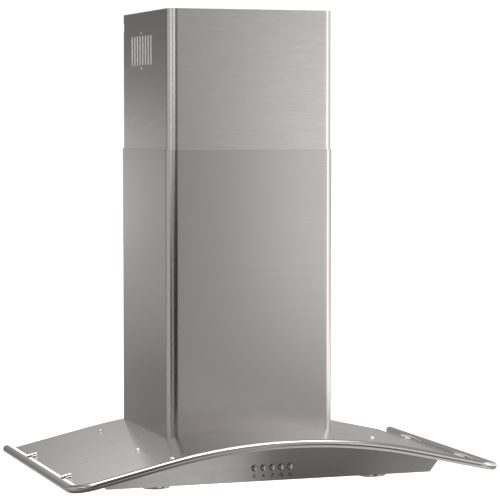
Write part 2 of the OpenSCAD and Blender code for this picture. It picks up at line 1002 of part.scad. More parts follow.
module scroll_wall() {
    color([0.4, 0.41, 0.42])
        difference() {
            scroll_slab(-scroll_half, scroll_half) scroll_outline(0, outlet_top);
            scroll_slab(-scroll_half - cut, scroll_half + cut) scroll_outline(scroll_t, outlet_top + cut);
        }
}

module scroll_plate() {
    color([0.4, 0.41, 0.42])
        difference() {
            scroll_slab(scroll_half + seat, scroll_half + seat + scroll_t) scroll_outline(0, outlet_top);
            translate([0, axle_y, axle_z]) {
                bar_x(inlet_r, 0, box_half);
                bracket_bolt_places() bar_x(small_hole_r, 0, box_half);
            }
        }
}

module scroll_left_plate() {
    mirror([1, 0, 0]) scroll_plate();
}

module scroll_right_plate() {
    scroll_plate();
}

module bracket_bolt_places() {
    for (i = [0 : arm_count - 1])
        rotate([90 + i * 360 / arm_count, 0, 0])
            translate([0, bracket_bolt_r, 0]) children();
}

module inlet_rings() {
    x0 = scroll_half + seat + scroll_t + seat;
    color([0.4, 0.41, 0.42])
        both_sides()
            translate([x0, axle_y, axle_z])
                rotate([0, 90, 0])
                    rotate_extrude($fn = 96) {
                        translate([inlet_r - ring_t, -scroll_t - 4])
                            square([ring_t - seat, scroll_t + 4 + ring_t]);
                        translate([inlet_r - ring_t, 0]) square([8, ring_t]);
                    }
}

module fan_wheel() {
    half = scroll_half - 9;
    blade_len = 14;
    color([0.72, 0.73, 0.74])
        translate([0, axle_y, axle_z])
            difference() {
                union() {
                    bar_x(wheel_r - 1, -1, 1);
                    bar_x(12, -half, half);
                    for (s = [-1, 1])
                        translate([s * (half - 1.5), 0, 0])
                            difference() {
                                bar_x(wheel_r, -1.5, 1.5);
                                bar_x(wheel_r - blade_len, -cut, cut);
                            }
                    for (i = [0 : blade_count - 1])
                        rotate([i * 360 / blade_count, 0, 0])
                            translate([-half + 1, wheel_r - blade_len + 1, -0.6])
                                rotate([24, 0, 0]) cube([2 * half - 2, blade_len - 2, 1.2]);
                }
                bar_x(shaft_r + 0.02, -scroll_w, scroll_w);
            }
}

module fan_shaft() {
    color([0.8, 0.8, 0.82])
        translate([0, axle_y, axle_z]) bar_x(shaft_r, -arm_x - bearing_l - 1, motor_x + motor_len / 2);
}

module motor() {
    color([0.5, 0.51, 0.53])
        translate([motor_x, axle_y, axle_z])
            difference() {
                union() {
                    bar_x(motor_r, motor_cap_t, motor_len - motor_cap_t);
                    bar_x(motor_r - 3, 0, motor_len);
                    bar_x(shaft_r + 5, -3, 0);
                }
                bar_x(shaft_r + run_fit, -10, motor_len / 2 + 1);
            }
}

module bracket_arms(inner_r) {
    for (i = [0 : arm_count - 1])
        rotate([i * 360 / arm_count, 0, 0])
            block(
                [arm_x, -arm_half, inner_r],
                [arm_x + arm_t, arm_half, bracket_bolt_r + bolt_margin]
            );
}

module motor_bracket() {
    color([0.55, 0.56, 0.57])
        translate([0, axle_y, axle_z])
            difference() {
                union() {
                    bracket_arms(motor_r - bracket_ring_w);
                    for (i = [0 : arm_count - 1])
                        rotate([i * 360 / arm_count, 0, 0])
                            block(
                                [arm_x, -arm_half, motor_r + seat],
                                [motor_x + strap_l, arm_half, motor_r + seat + arm_t]
                            );
                    difference() {
                        bar_x(motor_r + seat + arm_t, arm_x, arm_x + arm_t);
                        bar_x(motor_r - bracket_ring_w, arm_x - cut, arm_x + arm_t + cut);
                    }
                }
                bracket_bolt_places() bar_x(small_hole_r, 0, box_half);
            }
}

module bearing_bracket() {
    color([0.55, 0.56, 0.57])
        mirror([1, 0, 0])
            translate([0, axle_y, axle_z])
                difference() {
                    union() {
                        bracket_arms(6);
                        bar_x(10, arm_x, arm_x + bearing_l);
                    }
                    bar_x(shaft_r + run_fit, 0, box_half);
                    bracket_bolt_places() bar_x(small_hole_r, 0, box_half);
                }
}

// Duct collar and backdraft damper

module duct_collar() {
    color([0.2, 0.2, 0.2])
        translate([0, collar_y, 0])
            difference() {
                union() {
                    post(collar_r, box_top + seat, box_top + collar_h);
                    post(collar_r + 8, box_top + seat, box_top + seat + 2);
                }
                post(flap_r - ledge_w, box_top - cut, box_top + collar_h + cut);
                post(collar_r - collar_wall_t, box_top - cut, ledge_z - ledge_t);
                post(collar_r - collar_wall_t, ledge_z, box_top + collar_h + cut);
                translate([0, 0, flap_z]) bar_y(pin_r + 0.02, -collar_d, collar_d);
            }
}

module damper_pin() {
    color([0.8, 0.8, 0.82])
        translate([0, collar_y, flap_z]) bar_y(pin_r, -collar_r + 0.4, collar_r - 0.4);
}

// Half disc to the left of the pin, with knuckles at every second place
module damper_flap(first) {
    knuckle = flap_r / 4;
    clear_r = knuckle_r + 0.5;
    translate([0, collar_y, flap_z])
        difference() {
            union() {
                difference() {
                    intersection() {
                        post(flap_r, -flap_t / 2, flap_t / 2);
                        block([-collar_d, -collar_d, -cut], [-pin_r - 0.4, collar_d, cut]);
                    }
                    for (i = [0 : 3])
                        translate([0, (i - 2) * 1.8 * knuckle, 0])
                            if (i % 2 != first)
                                bar_y(clear_r, -1, 1.8 * knuckle + 1);
                }
                for (i = [0 : 3])
                    translate([0, (i - 2) * 1.8 * knuckle, 0])
                        if (i % 2 == first)
                            bar_y(knuckle_r, 0.5, 1.8 * knuckle - 0.5);
            }
            bar_y(pin_r + 1.5 * run_fit, -collar_d, collar_d);
        }
}

module left_damper_flap() {
    color([0.3, 0.3, 0.3]) damper_flap(0);
}

module right_damper_flap() {
    color([0.3, 0.3, 0.3])
        translate([0, collar_y, 0]) rotate([0, 0, 180]) translate([0, -collar_y, 0]) damper_flap(0);
}

// Electrical pieces on the front of the blower box

module capacitor() {
    color([0.85, 0.85, 0.83])
        translate([capacitor_x, capacitor_y, junction_z + 5]) {
            post(capacitor_r, 0, capacitor_h);
            post(capacitor_cap_r, capacitor_h, capacitor_h + capacitor_cap_h);
            for (s = [-1, 1])
                translate([s * capacitor_tag_x, 0, capacitor_h + capacitor_cap_h])
                    post(capacitor_tag_r, 0, capacitor_tag_h);
        }
}

module capacitor_clip() {
    color([0.6, 0.6, 0.62])
        translate([capacitor_x, capacitor_y, junction_z + 30])
            difference() {
                union() {
                    post(capacitor_r + 1.4, 0, 10);
                    block([-24, 16, 0], [24, 17.4, 10]);
                }
                post(capacitor_r + seat, -cut, 12);
            }
}

module junction_box() {
    x0 = junction_x;
    y1 = box_front - seat;
    color([0.85, 0.85, 0.82])
        difference() {
            block([x0, y1 - junction_depth, junction_z], [x0 + junction_w, y1, junction_z + junction_h]);
            block(
                [x0 + junction_t, y1 - junction_depth - cut, junction_z + junction_t],
                [x0 + junction_w - junction_t, y1 - junction_t, junction_z + junction_h - junction_t]
            );
            gland_place() post(gland_neck_r + seat, -20, cut);
        }
}

module gland_place() {
    translate([
        junction_x + junction_w - 20,
        box_front - seat - junction_depth / 2 - 1,
        junction_z + junction_h
    ]) children();
}

module junction_lid() {
    x0 = junction_x;
    y0 = box_front - seat - junction_depth;
    color([0.82, 0.82, 0.8]) {
        block([x0, y0 - seat - 2, junction_z], [x0 + junction_w, y0 - seat, junction_z + junction_h]);
        for (x = [x0 + 8, x0 + junction_w - 8], z = [junction_z + 8, junction_z + junction_h - 8])
            translate([x, 0, z]) bar_y(3, y0 - seat - 3.2, y0 - seat - 1);
    }
}

module cable_gland() {
    color([0.15, 0.15, 0.15])
        gland_place()
            difference() {
                union() {
                    post(gland_neck_r, -junction_t - 6, seat + 1);
                    translate([0, 0, seat]) cylinder(r = 10, h = 5, $fn = 6);
                    post(8, seat + 5, 12);
                }
                post(gland_bore_r, -20, 20);
            }
}

module terminal_block() {
    y1 = box_front - seat - junction_t - seat;
    color([0.92, 0.92, 0.9])
        difference() {
            block([-15, y1 - 14, junction_z + 20], [35, y1, junction_z + 38]);
            for (i = [0 : 4])
                translate([-10 + i * 10, 0, junction_z + 29]) {
                    bar_y(2, y1 - 14 - cut, y1 - 8);
                    post(1.6, -9 - cut, -4);
                }
        }
}

// Chimney

// Plan of a flue cover: front and sides with round corners, grown inwards from half and depth
module flue_area(half, depth, r, rear) {
    translate([-half, -depth + r]) square([2 * half, depth - r - rear]);
    translate([-half + r, -depth]) square([2 * half - 2 * r, depth - rear]);
    for (s = [-1, 1]) translate([s * (half - r), -depth + r]) circle(r = r);
}

// Flue cover with a return flange along each rear edge
module flue_cover(half, depth, r, rear, z0, z1) {
    translate([0, 0, z0])
        linear_extrude(z1 - z0)
            difference() {
                flue_area(half, depth, r, rear);
                flue_area(half - flue_t, depth - flue_t, r - flue_t, rear + flue_t);
                translate([-half + flange_w, -rear - flue_t - cut])
                    square([2 * half - 2 * flange_w, flue_t + 2 * cut]);
            }
}

module lower_flue() {
    color([0.8, 0.79, 0.77])
        difference() {
            flue_cover(flue_half, flue_depth, flue_corner_r, flue_rear, arch_z(flue_half) - 5, seam_height);
            arch_block(seat, plate_half, -cut, -flue_depth - cut, cut);
        }
}

// Places children where the four feet stand on the canopy inside the lower cover
module foot_places() {
    for (y = foot_rows)
        both_sides() on_arch(foot_x, y) children();
}

module flue_feet() {
    face = flue_half - flue_t - seat;
    low = arch_z(flue_half);
    color([0.6, 0.6, 0.62])
        for (y = foot_rows)
            both_sides()
                difference() {
                    union() {
                        on_arch(foot_x, y)
                            block(
                                [-foot_toe, -foot_l / 2, seat],
                                [foot_inset - foot_edge, foot_l / 2, seat + foot_t]
                            );
                        block(
                            [face - foot_t, y - foot_l / 2, low + foot_lift],
                            [face, y + foot_l / 2, low + foot_h]
                        );
                    }
                    on_arch(foot_x, y) post(small_hole_r, -cut, 4);
                }
}

module foot_screws() {
    color([0.8, 0.8, 0.82])
        foot_places()
            translate([0, 0, 2 * seat + foot_t]) dome_screw(3, 1.8, 1.7, 5);
}

// Side places of the vent, on the upper cover's right side with +Z pointing out
module vent_place() {
    translate([upper_half, -vent_y, vent_z]) rotate([0, 90, 0]) children();
}

module vent_slot_row(depth) {
    for (i = [0 : vent_slots - 1])
        translate([0, (i - (vent_slots - 1) / 2) * vent_pitch, -depth]) {
            translate([-vent_slot_len / 2 + vent_slot_w / 2, -vent_slot_w / 2, 0])
                cube([vent_slot_len - vent_slot_w, vent_slot_w, depth + cut]);
            for (e = [-1, 1])
                translate([e * (vent_slot_len - vent_slot_w) / 2, 0, 0])
                    cylinder(r = vent_slot_w / 2, h = depth + cut, $fn = 24);
        }
}

module vent_screw_places() {
    for (e = [-1, 1]) translate([e * vent_screw_up, 0, 0]) children();
}

module upper_flue() {
    color([0.8, 0.79, 0.77])
        difference() {
            flue_cover(upper_half, upper_depth, upper_corner_r, upper_rear, upper_bottom, top_height);
            both_sides()
                vent_place() {
                    vent_slot_row(flue_t + cut);
                    vent_screw_places() post(1.6, -flue_t - cut, cut);
                }
            for (s = [-1, 1])
                translate([s * upper_half, -upper_rear, notch_z])
                    block([-4, -notch_depth, 0], [4, cut, notch_h]);
        }
}

module vent_frames() {
    z1 = -flue_t - seat;
    edge = 6;
    color([0.93, 0.93, 0.91])
        both_sides()
            vent_place()
                difference() {
                    union() {
                        block(
                            [-vent_screw_up - 6, -vent_span / 2 - edge, z1 - 2],
                            [vent_screw_up + 6, vent_span / 2 + edge, z1]
                        );
                        block(
                            [-vent_slot_len / 2 - 1.5, -vent_span / 2 - 1.5, z1 - 12],
                            [vent_slot_len / 2 + 1.5, vent_span / 2 + 1.5, z1]
                        );
                    }
                    vent_slot_row(30);
                    vent_screw_places() post(1.3, -30, cut);
                }
}

module vent_screws() {
    color([0.75, 0.75, 0.75])
        both_sides()
            vent_place()
                vent_screw_places()
                    translate([0, 0, seat / 2]) dome_screw(2.6, 0.9, 1.25, 5);
}

module flue_wall_bracket() {
    inner = upper_half - flue_t - 0.3;
    low = notch_z - 6;
    high = notch_z + notch_h + 6;
    reach = notch_depth + upper_rear + 6;
    hole_z = notch_z + notch_h / 2;
    color([0.65, 0.65, 0.66])
        difference() {
            union() {
                block([-inner, -bracket_t, low], [inner, 0, high]);
                both_sides() {
                    block([inner - bracket_t, -reach, notch_z + 1], [inner, 0, notch_z + notch_h - 1]);
                    block(
                        [inner - bracket_t, -upper_rear - notch_depth + 1, notch_z + 1],
                        [upper_half - 0.2, -upper_rear - notch_depth + 3, notch_z + notch_h - 1]
                    );
                }
            }
            for (s = [-1, 1])
                translate([s * bracket_spacing / 2, 0, hole_z])
                    bar_y(bracket_hole_d / 2, -bracket_t - cut, cut);
        }
}

canopy_skin();
front_panel();
left_side_panel();
right_side_panel();
back_panel();
bottom_panel();
back_stiffener();
nut_plates();
hand_rail();
rail_posts();
rail_screws();
front_rail_brackets();
canopy_screws();
left_filter_frame();
left_filter_mesh();
left_filter_latch();
right_filter_frame();
right_filter_mesh();
right_filter_latch();
lamp_housings();
lamp_bezels();
lamp_lenses();
lamp_reflectors();
lamp_bulbs();
button_guide();
light_button();
speed_one_button();
speed_two_button();
speed_three_button();
power_button();
switch_block();
switch_bracket();
blower_box();
blower_screws();
scroll_wall();
scroll_left_plate();
scroll_right_plate();
inlet_rings();
fan_wheel();
fan_shaft();
motor();
motor_bracket();
bearing_bracket();
capacitor();
capacitor_clip();
duct_collar();
damper_pin();
left_damper_flap();
right_damper_flap();
junction_box();
junction_lid();
cable_gland();
terminal_block();
lower_flue();
flue_feet();
foot_screws();
upper_flue();
flue_wall_bracket();
vent_frames();
vent_screws();
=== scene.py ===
"""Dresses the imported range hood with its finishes, detailed pieces, studio and camera."""

import json
import logging
import math
from dataclasses import dataclass, field
from enum import Enum
from typing import Any, Sequence

import bmesh
import bpy
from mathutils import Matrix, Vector


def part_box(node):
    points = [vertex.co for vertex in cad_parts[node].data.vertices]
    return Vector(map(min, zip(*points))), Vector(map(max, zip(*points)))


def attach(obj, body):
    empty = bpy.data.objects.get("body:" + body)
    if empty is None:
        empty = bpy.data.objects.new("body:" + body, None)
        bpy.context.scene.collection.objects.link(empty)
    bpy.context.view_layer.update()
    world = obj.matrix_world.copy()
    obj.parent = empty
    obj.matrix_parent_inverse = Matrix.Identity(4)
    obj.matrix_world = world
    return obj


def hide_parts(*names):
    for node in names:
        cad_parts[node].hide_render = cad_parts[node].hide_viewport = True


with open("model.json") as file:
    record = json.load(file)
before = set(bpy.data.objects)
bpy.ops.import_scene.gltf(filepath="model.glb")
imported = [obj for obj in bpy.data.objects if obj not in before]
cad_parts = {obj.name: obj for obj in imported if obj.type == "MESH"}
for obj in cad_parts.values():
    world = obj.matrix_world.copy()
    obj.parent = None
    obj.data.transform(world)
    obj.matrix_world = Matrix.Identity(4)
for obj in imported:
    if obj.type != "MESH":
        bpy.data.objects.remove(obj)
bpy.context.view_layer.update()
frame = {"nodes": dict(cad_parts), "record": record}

log = logging.getLogger("range_hood")
MM = 0.001


# Small tools


def linear(code: str, alpha: float = 1.0) -> tuple[float, float, float, float]:
    """Turn an sRGB hex colour into the linear colour that shaders take.

    Args:
        code: Six hex digits, with or without a hash.
        alpha: Opacity, kept as it is.

    Returns:
        Red, green, blue and alpha.
    """
    digits = code.lstrip("#")
    parts = [int(digits[i : i + 2], 16) / 255 for i in (0, 2, 4)]
    r, g, b = (c / 12.92 if c <= 0.04045 else ((c + 0.055) / 1.055) ** 2.4 for c in parts)
    return (r, g, b, alpha)


def add_node(
    tree: bpy.types.NodeTree, kind: str, inputs: dict[Any, Any] | None = None, **settings: Any
) -> bpy.types.Node:
    """Add one node, set its properties and fill its inputs.

    Args:
        tree: The node tree that gets the node.
        kind: Blender's name of the node's type.
        inputs: Values by socket name or number; a value that is a socket is linked.
        **settings: The node's own properties.

    Returns:
        The new node.
    """
    made = tree.nodes.new(kind)
    for key, value in settings.items():
        setattr(made, key, value)
    for key, value in (inputs or {}).items():
        if isinstance(value, bpy.types.NodeSocket):
            tree.links.new(value, made.inputs[key])
        else:
            made.inputs[key].default_value = value
    return made


def linked(name: str, data: Any) -> bpy.types.Object:
    """Make an object and link it to the scene.

    Args:
        name: The object's name.
        data: Its mesh, light or camera.

    Returns:
        The new object.
    """
    made = bpy.data.objects.new(name, data)
    bpy.context.scene.collection.objects.link(made)
    return made


def mesh_piece(name: str, form: bmesh.types.BMesh, smooth: bool = True) -> bpy.types.Object:
    """Turn a bmesh into a linked object at the origin, with its normals outwards.

    Args:
        name: The piece's name.
        form: The shape, which is freed.
        smooth: Whether its faces shade smoothly.

    Returns:
        The new object.
    """
    bmesh.ops.recalc_face_normals(form, faces=form.faces)
    mesh = bpy.data.meshes.new(name)
    form.to_mesh(mesh)
    form.free()
    if smooth:
        mesh.shade_smooth()
    return linked(name, mesh)


def baked(name: str, source: bpy.types.Object) -> bpy.types.Object:
    """Turn an object with a live Geometry Nodes modifier into a plain mesh piece.

    Args:
        name: The new piece's name.
        source: The object that carries the modifier; it is removed.

    Returns:
        The plain piece.
    """
    graph = bpy.context.evaluated_depsgraph_get()
    mesh = bpy.data.meshes.new_from_object(source.evaluated_get(graph), depsgraph=graph)
    mesh.name = name
    bpy.data.objects.remove(source)
    return linked(name, mesh)


def grow(
    name: str, base: bpy.types.Object, tree: bpy.types.NodeTree, values: dict[str, Any]
) -> bpy.types.Object:
    """Run a Geometry Nodes tree on an object and keep the result as a plain piece.

    Args:
        name: The piece's name.
        base: The object that the tree starts from.
        tree: The tree, whose inputs are named.
        values: Input values by their names in the tree.

    Returns:
        The plain piece.
    """
    modifier = base.modifiers.new("grow", "NODES")
    modifier.node_group = tree
    ids = {i.name: i.identifier for i in tree.interface.items_tree if i.in_out == "INPUT"}
    for key, value in values.items():
        modifier[ids[key]] = value
    bpy.context.view_layer.update()
    return baked(name, base)


def geometry_tree(name: str, inputs: dict[str, str]) -> tuple[Any, Any, Any]:
    """Start a Geometry Nodes tree with named inputs and one geometry output.

    Args:
        name: The tree's name.
        inputs: Kind of socket by input name, without the geometry input.

    Returns:
        The tree, its input node and its output node.
    """
    tree = bpy.data.node_groups.new(name, "GeometryNodeTree")
    face = tree.interface
    face.new_socket("Geometry", in_out="INPUT", socket_type="NodeSocketGeometry")
    for key, kind in inputs.items():
        face.new_socket(key, in_out="INPUT", socket_type=f"NodeSocket{kind}")
    face.new_socket("Geometry", in_out="OUTPUT", socket_type="NodeSocketGeometry")
    return tree, add_node(tree, "NodeGroupInput"), add_node(tree, "NodeGroupOutput")


def finish_tree(tree: Any, end: Any, shape: Any, finish: Any) -> None:
    """End a Geometry Nodes tree: make its copies real and coat them.

    Args:
        tree: The tree.
        end: Its output node.
        shape: The socket of its shape.
        finish: The socket of its material.
    """
    real = add_node(tree, "GeometryNodeRealizeInstances", {0: shape})
    coated = add_node(
        tree, "GeometryNodeSetMaterial", {"Geometry": real.outputs[0], "Material": finish}
    )
    tree.links.new(coated.outputs[0], end.inputs[0])


# Finishes


@dataclass(frozen=True)
class Finish:
    """A surface finish. Its pattern sizes are millimetres on the object."""

    name: str
    colour: str
    roughness: float
    metallic: float = 0.0
    # How far a pattern moves the roughness each way
    gloss_spread: float = 0.05
    # A pattern's height, and the share of it that shows
    relief_mm: float = 0.03
    relief_share: float = 0.22
    noise_roughness: float = 0.6

    def material(self) -> bpy.types.Material:
        """Build the material once.

        Returns:
            The material, the same one at each call.
        """
        found = bpy.data.materials.get(self.name)
        if found:
            return found
        made = bpy.data.materials.new(self.name)
        made.use_nodes = True
        tree = made.node_tree
        shader = tree.nodes["Principled BSDF"]
        shader.inputs["Base Color"].default_value = linear(self.colour)
        shader.inputs["Metallic"].default_value = self.metallic
        shader.inputs["Roughness"].default_value = self.roughness
        place = add_node(tree, "ShaderNodeTexCoord").outputs["Object"]
        self.dress(tree, shader, place)
        return made

    def dress(self, tree: Any, shader: Any, place: Any) -> None:
        """Add the finish's own pattern to the shader; the plain base adds none."""

    def streaks(
        self, tree: Any, place: Any, size_mm: Sequence[float], detail: float = 2.0
    ) -> Any:
        """Add noise whose cells have the given sizes along X, Y and Z.

        Args:
            tree: The material's tree.
            place: The coordinate socket.
            size_mm: Cell length along each axis.
            detail: The noise's detail.

        Returns:
            The noise's value socket.
        """
        scale = [1 / (size * MM) for size in size_mm]
        scaled = add_node(tree, "ShaderNodeMapping", {"Vector": place, "Scale": scale})
        values = {"Scale": 1.0, "Detail": detail, "Roughness": self.noise_roughness}
        where = {"Vector": scaled.outputs[0]}
        return add_node(tree, "ShaderNodeTexNoise", where | values).outputs[0]

    def vary(self, tree: Any, shader: Any, value: Any, dark: str) -> None:
        """Let a pattern shift the colour and the roughness.

        Args:
            tree: The material's tree.
            shader: The surface shader.
            value: The pattern's value socket.
            dark: The colour at the pattern's low end.
        """
        tones = {0: value, 6: linear(dark), 7: linear(self.colour)}
        mix = add_node(tree, "ShaderNodeMix", tones, data_type="RGBA")
        tree.links.new(mix.outputs[2], shader.inputs["Base Color"])
        dull, glossy = self.roughness + self.gloss_spread, self.roughness - self.gloss_spread
        ends = {"Value": value, "To Min": dull, "To Max": glossy}
        span = add_node(tree, "ShaderNodeMapRange", ends)
        tree.links.new(span.outputs[0], shader.inputs["Roughness"])

    def bump(self, tree: Any, shader: Any, value: Any) -> None:
        """Raise the surface by a pattern.

        Args:
            tree: The material's tree.
            shader: The surface shader.
            value: The pattern's value socket.
        """
        values = {"Distance": self.relief_mm * MM, "Strength": self.relief_share}
        raised = add_node(tree, "ShaderNodeBump", {"Height": value} | values)
        tree.links.new(raised.outputs[0], shader.inputs["Normal"])


class Grain(Enum):
    """The axis across which a brushed sheet's lines lie close together."""

    LEVEL = 2  # level lines round an upright sheet
    ALONG_X = 1  # lines along the width of a sheet that faces up


@dataclass(frozen=True)
class BrushedSteel(Finish):
    """Stainless sheet drawn under an abrasive belt: fine parallel lines that blur reflections
    across the grain."""

    grain: Grain = Grain.LEVEL
    dark: str = "b3afb0"
    # Real lines are about 0.1 mm apart; drawn coarser so that they show in the picture
    line_mm: float = 1.4
    line_length_mm: float = 60.0
    # Broad bands over the lines: width and length in those of a line, and share of the tone
    band_lines: int = 9
    band_lengths: int = 5
    band_share: float = 0.35
    # The highlight's stretch, and the turn that lays it across the lines
    pull: float = 0.6
    pull_turn: float = 0.25

    def dress(self, tree: Any, shader: Any, place: Any) -> None:
        """Add the grain, broad tone bands and the stretched highlight.

        Args:
            tree: The material's tree.
            shader: The surface shader.
            place: The coordinate socket.
        """
        fine = [self.line_length_mm] * 3
        fine[self.grain.value] = self.line_mm
        broad = [self.line_length_mm * self.band_lengths] * 3
        broad[self.grain.value] = self.line_mm * self.band_lines
        lines = self.streaks(tree, place, fine, detail=3.0)
        bands = self.streaks(tree, place, broad, detail=1.0)
        blend = add_node(
            tree, "ShaderNodeMix", {0: self.band_share, 2: lines, 3: bands}, data_type="FLOAT"
        ).outputs[0]
        self.vary(tree, shader, blend, self.dark)
        self.bump(tree, shader, lines)
        shader.inputs["Anisotropic"].default_value = self.pull
        shader.inputs["Anisotropic Rotation"].default_value = self.pull_turn
        if self.grain is Grain.ALONG_X:
            turned = add_node(tree, "ShaderNodeTangent", direction_type="RADIAL", axis="Y")
            tree.links.new(turned.outputs[0], shader.inputs["Tangent"])


@dataclass(frozen=True)
class PolishedMetal(Finish):
    """Metal buffed bright: faint wandering buffing marks in the gloss and no visible lines."""

    metallic: float = 1.0
    dark: str = "b9b7b4"
    mark_mm: float = 14.0
    gloss_spread: float = 0.03
    relief_mm: float = 0.01
    relief_share: float = 0.1

    def dress(self, tree: Any, shader: Any, place: Any) -> None:
        """Add the buffing marks.

        Args:
            tree: The material's tree.
            shader: The surface shader.
            place: The coordinate socket.
        """
        marks = self.streaks(tree, place, [self.mark_mm] * 3, detail=4.0)
        self.vary(tree, shader, marks, self.dark)
        self.bump(tree, shader, marks)


@dataclass(frozen=True)
class GalvanisedSteel(Finish):
    """Hot-dipped zinc on steel: flat crystals of differing grey, the spangle."""

    metallic: float = 0.9
    dark: str = "83878b"
    spangle_mm: float = 11.0
    gloss_spread: float = 0.08
    relief_mm: float = 0.02
    relief_share: float = 0.15

    def dress(self, tree: Any, shader: Any, place: Any) -> None:
        """Add the spangle and its faint edges.

        Args:
            tree: The material's tree.
            shader: The surface shader.
            place: The coordinate socket.
        """
        cells = add_node(
            tree, "ShaderNodeTexVoronoi", {"Vector": place, "Scale": 1 / (self.spangle_mm * MM)}
        )
        tone = add_node(tree, "ShaderNodeRGBToBW", {0: cells.outputs["Color"]})
        self.vary(tree, shader, tone.outputs[0], self.dark)
        self.bump(tree, shader, cells.outputs["Distance"])


@dataclass(frozen=True)
class MouldedPlastic(Finish):
    """Injection-moulded plastic with a spark-eroded mould texture and a faint flow mottle."""

    dark: str = "0a0a0b"
    # Real texture is about 0.1 mm; drawn coarser so that it shows
    texture_mm: float = 0.9
    mottle_mm: float = 26.0
    relief_mm: float = 0.05
    relief_share: float = 0.3

    def dress(self, tree: Any, shader: Any, place: Any) -> None:
        """Add the mould texture and the mottle.

        Args:
            tree: The material's tree.
            shader: The surface shader.
            place: The coordinate socket.
        """
        mottle = self.streaks(tree, place, [self.mottle_mm] * 3, detail=3.0)
        texture = self.streaks(tree, place, [self.texture_mm] * 3, detail=1.0)
        self.vary(tree, shader, mottle, self.dark)
        self.bump(tree, shader, texture)


@dataclass(frozen=True)
class StovedEnamel(Finish):
    """Sprayed and stoved enamel with the soft ripple called orange peel."""

    dark: str = "4c5055"
    peel_mm: float = 2.5
    gloss_spread: float = 0.04
    relief_mm: float = 0.08
    relief_share: float = 0.25

    def dress(self, tree: Any, shader: Any, place: Any) -> None:
        """Add the ripple.

        Args:
            tree: The material's tree.
            shader: The surface shader.
            place: The coordinate socket.
        """
        peel = self.streaks(tree, place, [self.peel_mm] * 3, detail=1.0)
        self.vary(tree, shader, peel, self.dark)
        self.bump(tree, shader, peel)


@dataclass(frozen=True)
class PressedGlass(Finish):
    """Pressed glass with a fine stipple that spreads the lamp's light."""

    clear: float = 0.8
    stipple_mm: float = 1.6
    bending: float = 1.5
    relief_mm: float = 0.25
    relief_share: float = 0.5

    def dress(self, tree: Any, shader: Any, place: Any) -> None:
        """Add transmission and the pressed stipple.

        Args:
            tree: The material's tree.
            shader: The surface shader.
            place: The coordinate socket.
        """
        shader.inputs["Transmission Weight"].default_value = self.clear
        shader.inputs["IOR"].default_value = self.bending
        stipple = self.streaks(tree, place, [self.stipple_mm] * 3, detail=0.0)
        self.bump(tree, shader, stipple)


# Stainless sheet, belt brushed: short level lines, and highlights drawn up and down
UPRIGHT_SHEET = BrushedSteel(
    "stainless_sheet_brushed_level", "d1cdcb", 0.22, 1.0, dark="b7b3b1", line_mm=1.1,
    line_length_mm=16.0
)
# The same sheet with a finer brush: smoother and a little darker
LOWER_SHEET = BrushedSteel(
    "stainless_cover_brushed_level", "bebab8", 0.19, 1.0, dark="b6b2b0", line_mm=1.2
)
# The canopy's sheet, brushed along its width: shows the flue's reflection softly
TOP_SHEET = BrushedSteel(
    "stainless_canopy_brushed_across", "e8e4e3", 0.22, 1.0, grain=Grain.ALONG_X, dark="c9c6c4",
    line_length_mm=24.0, pull=0.5
)
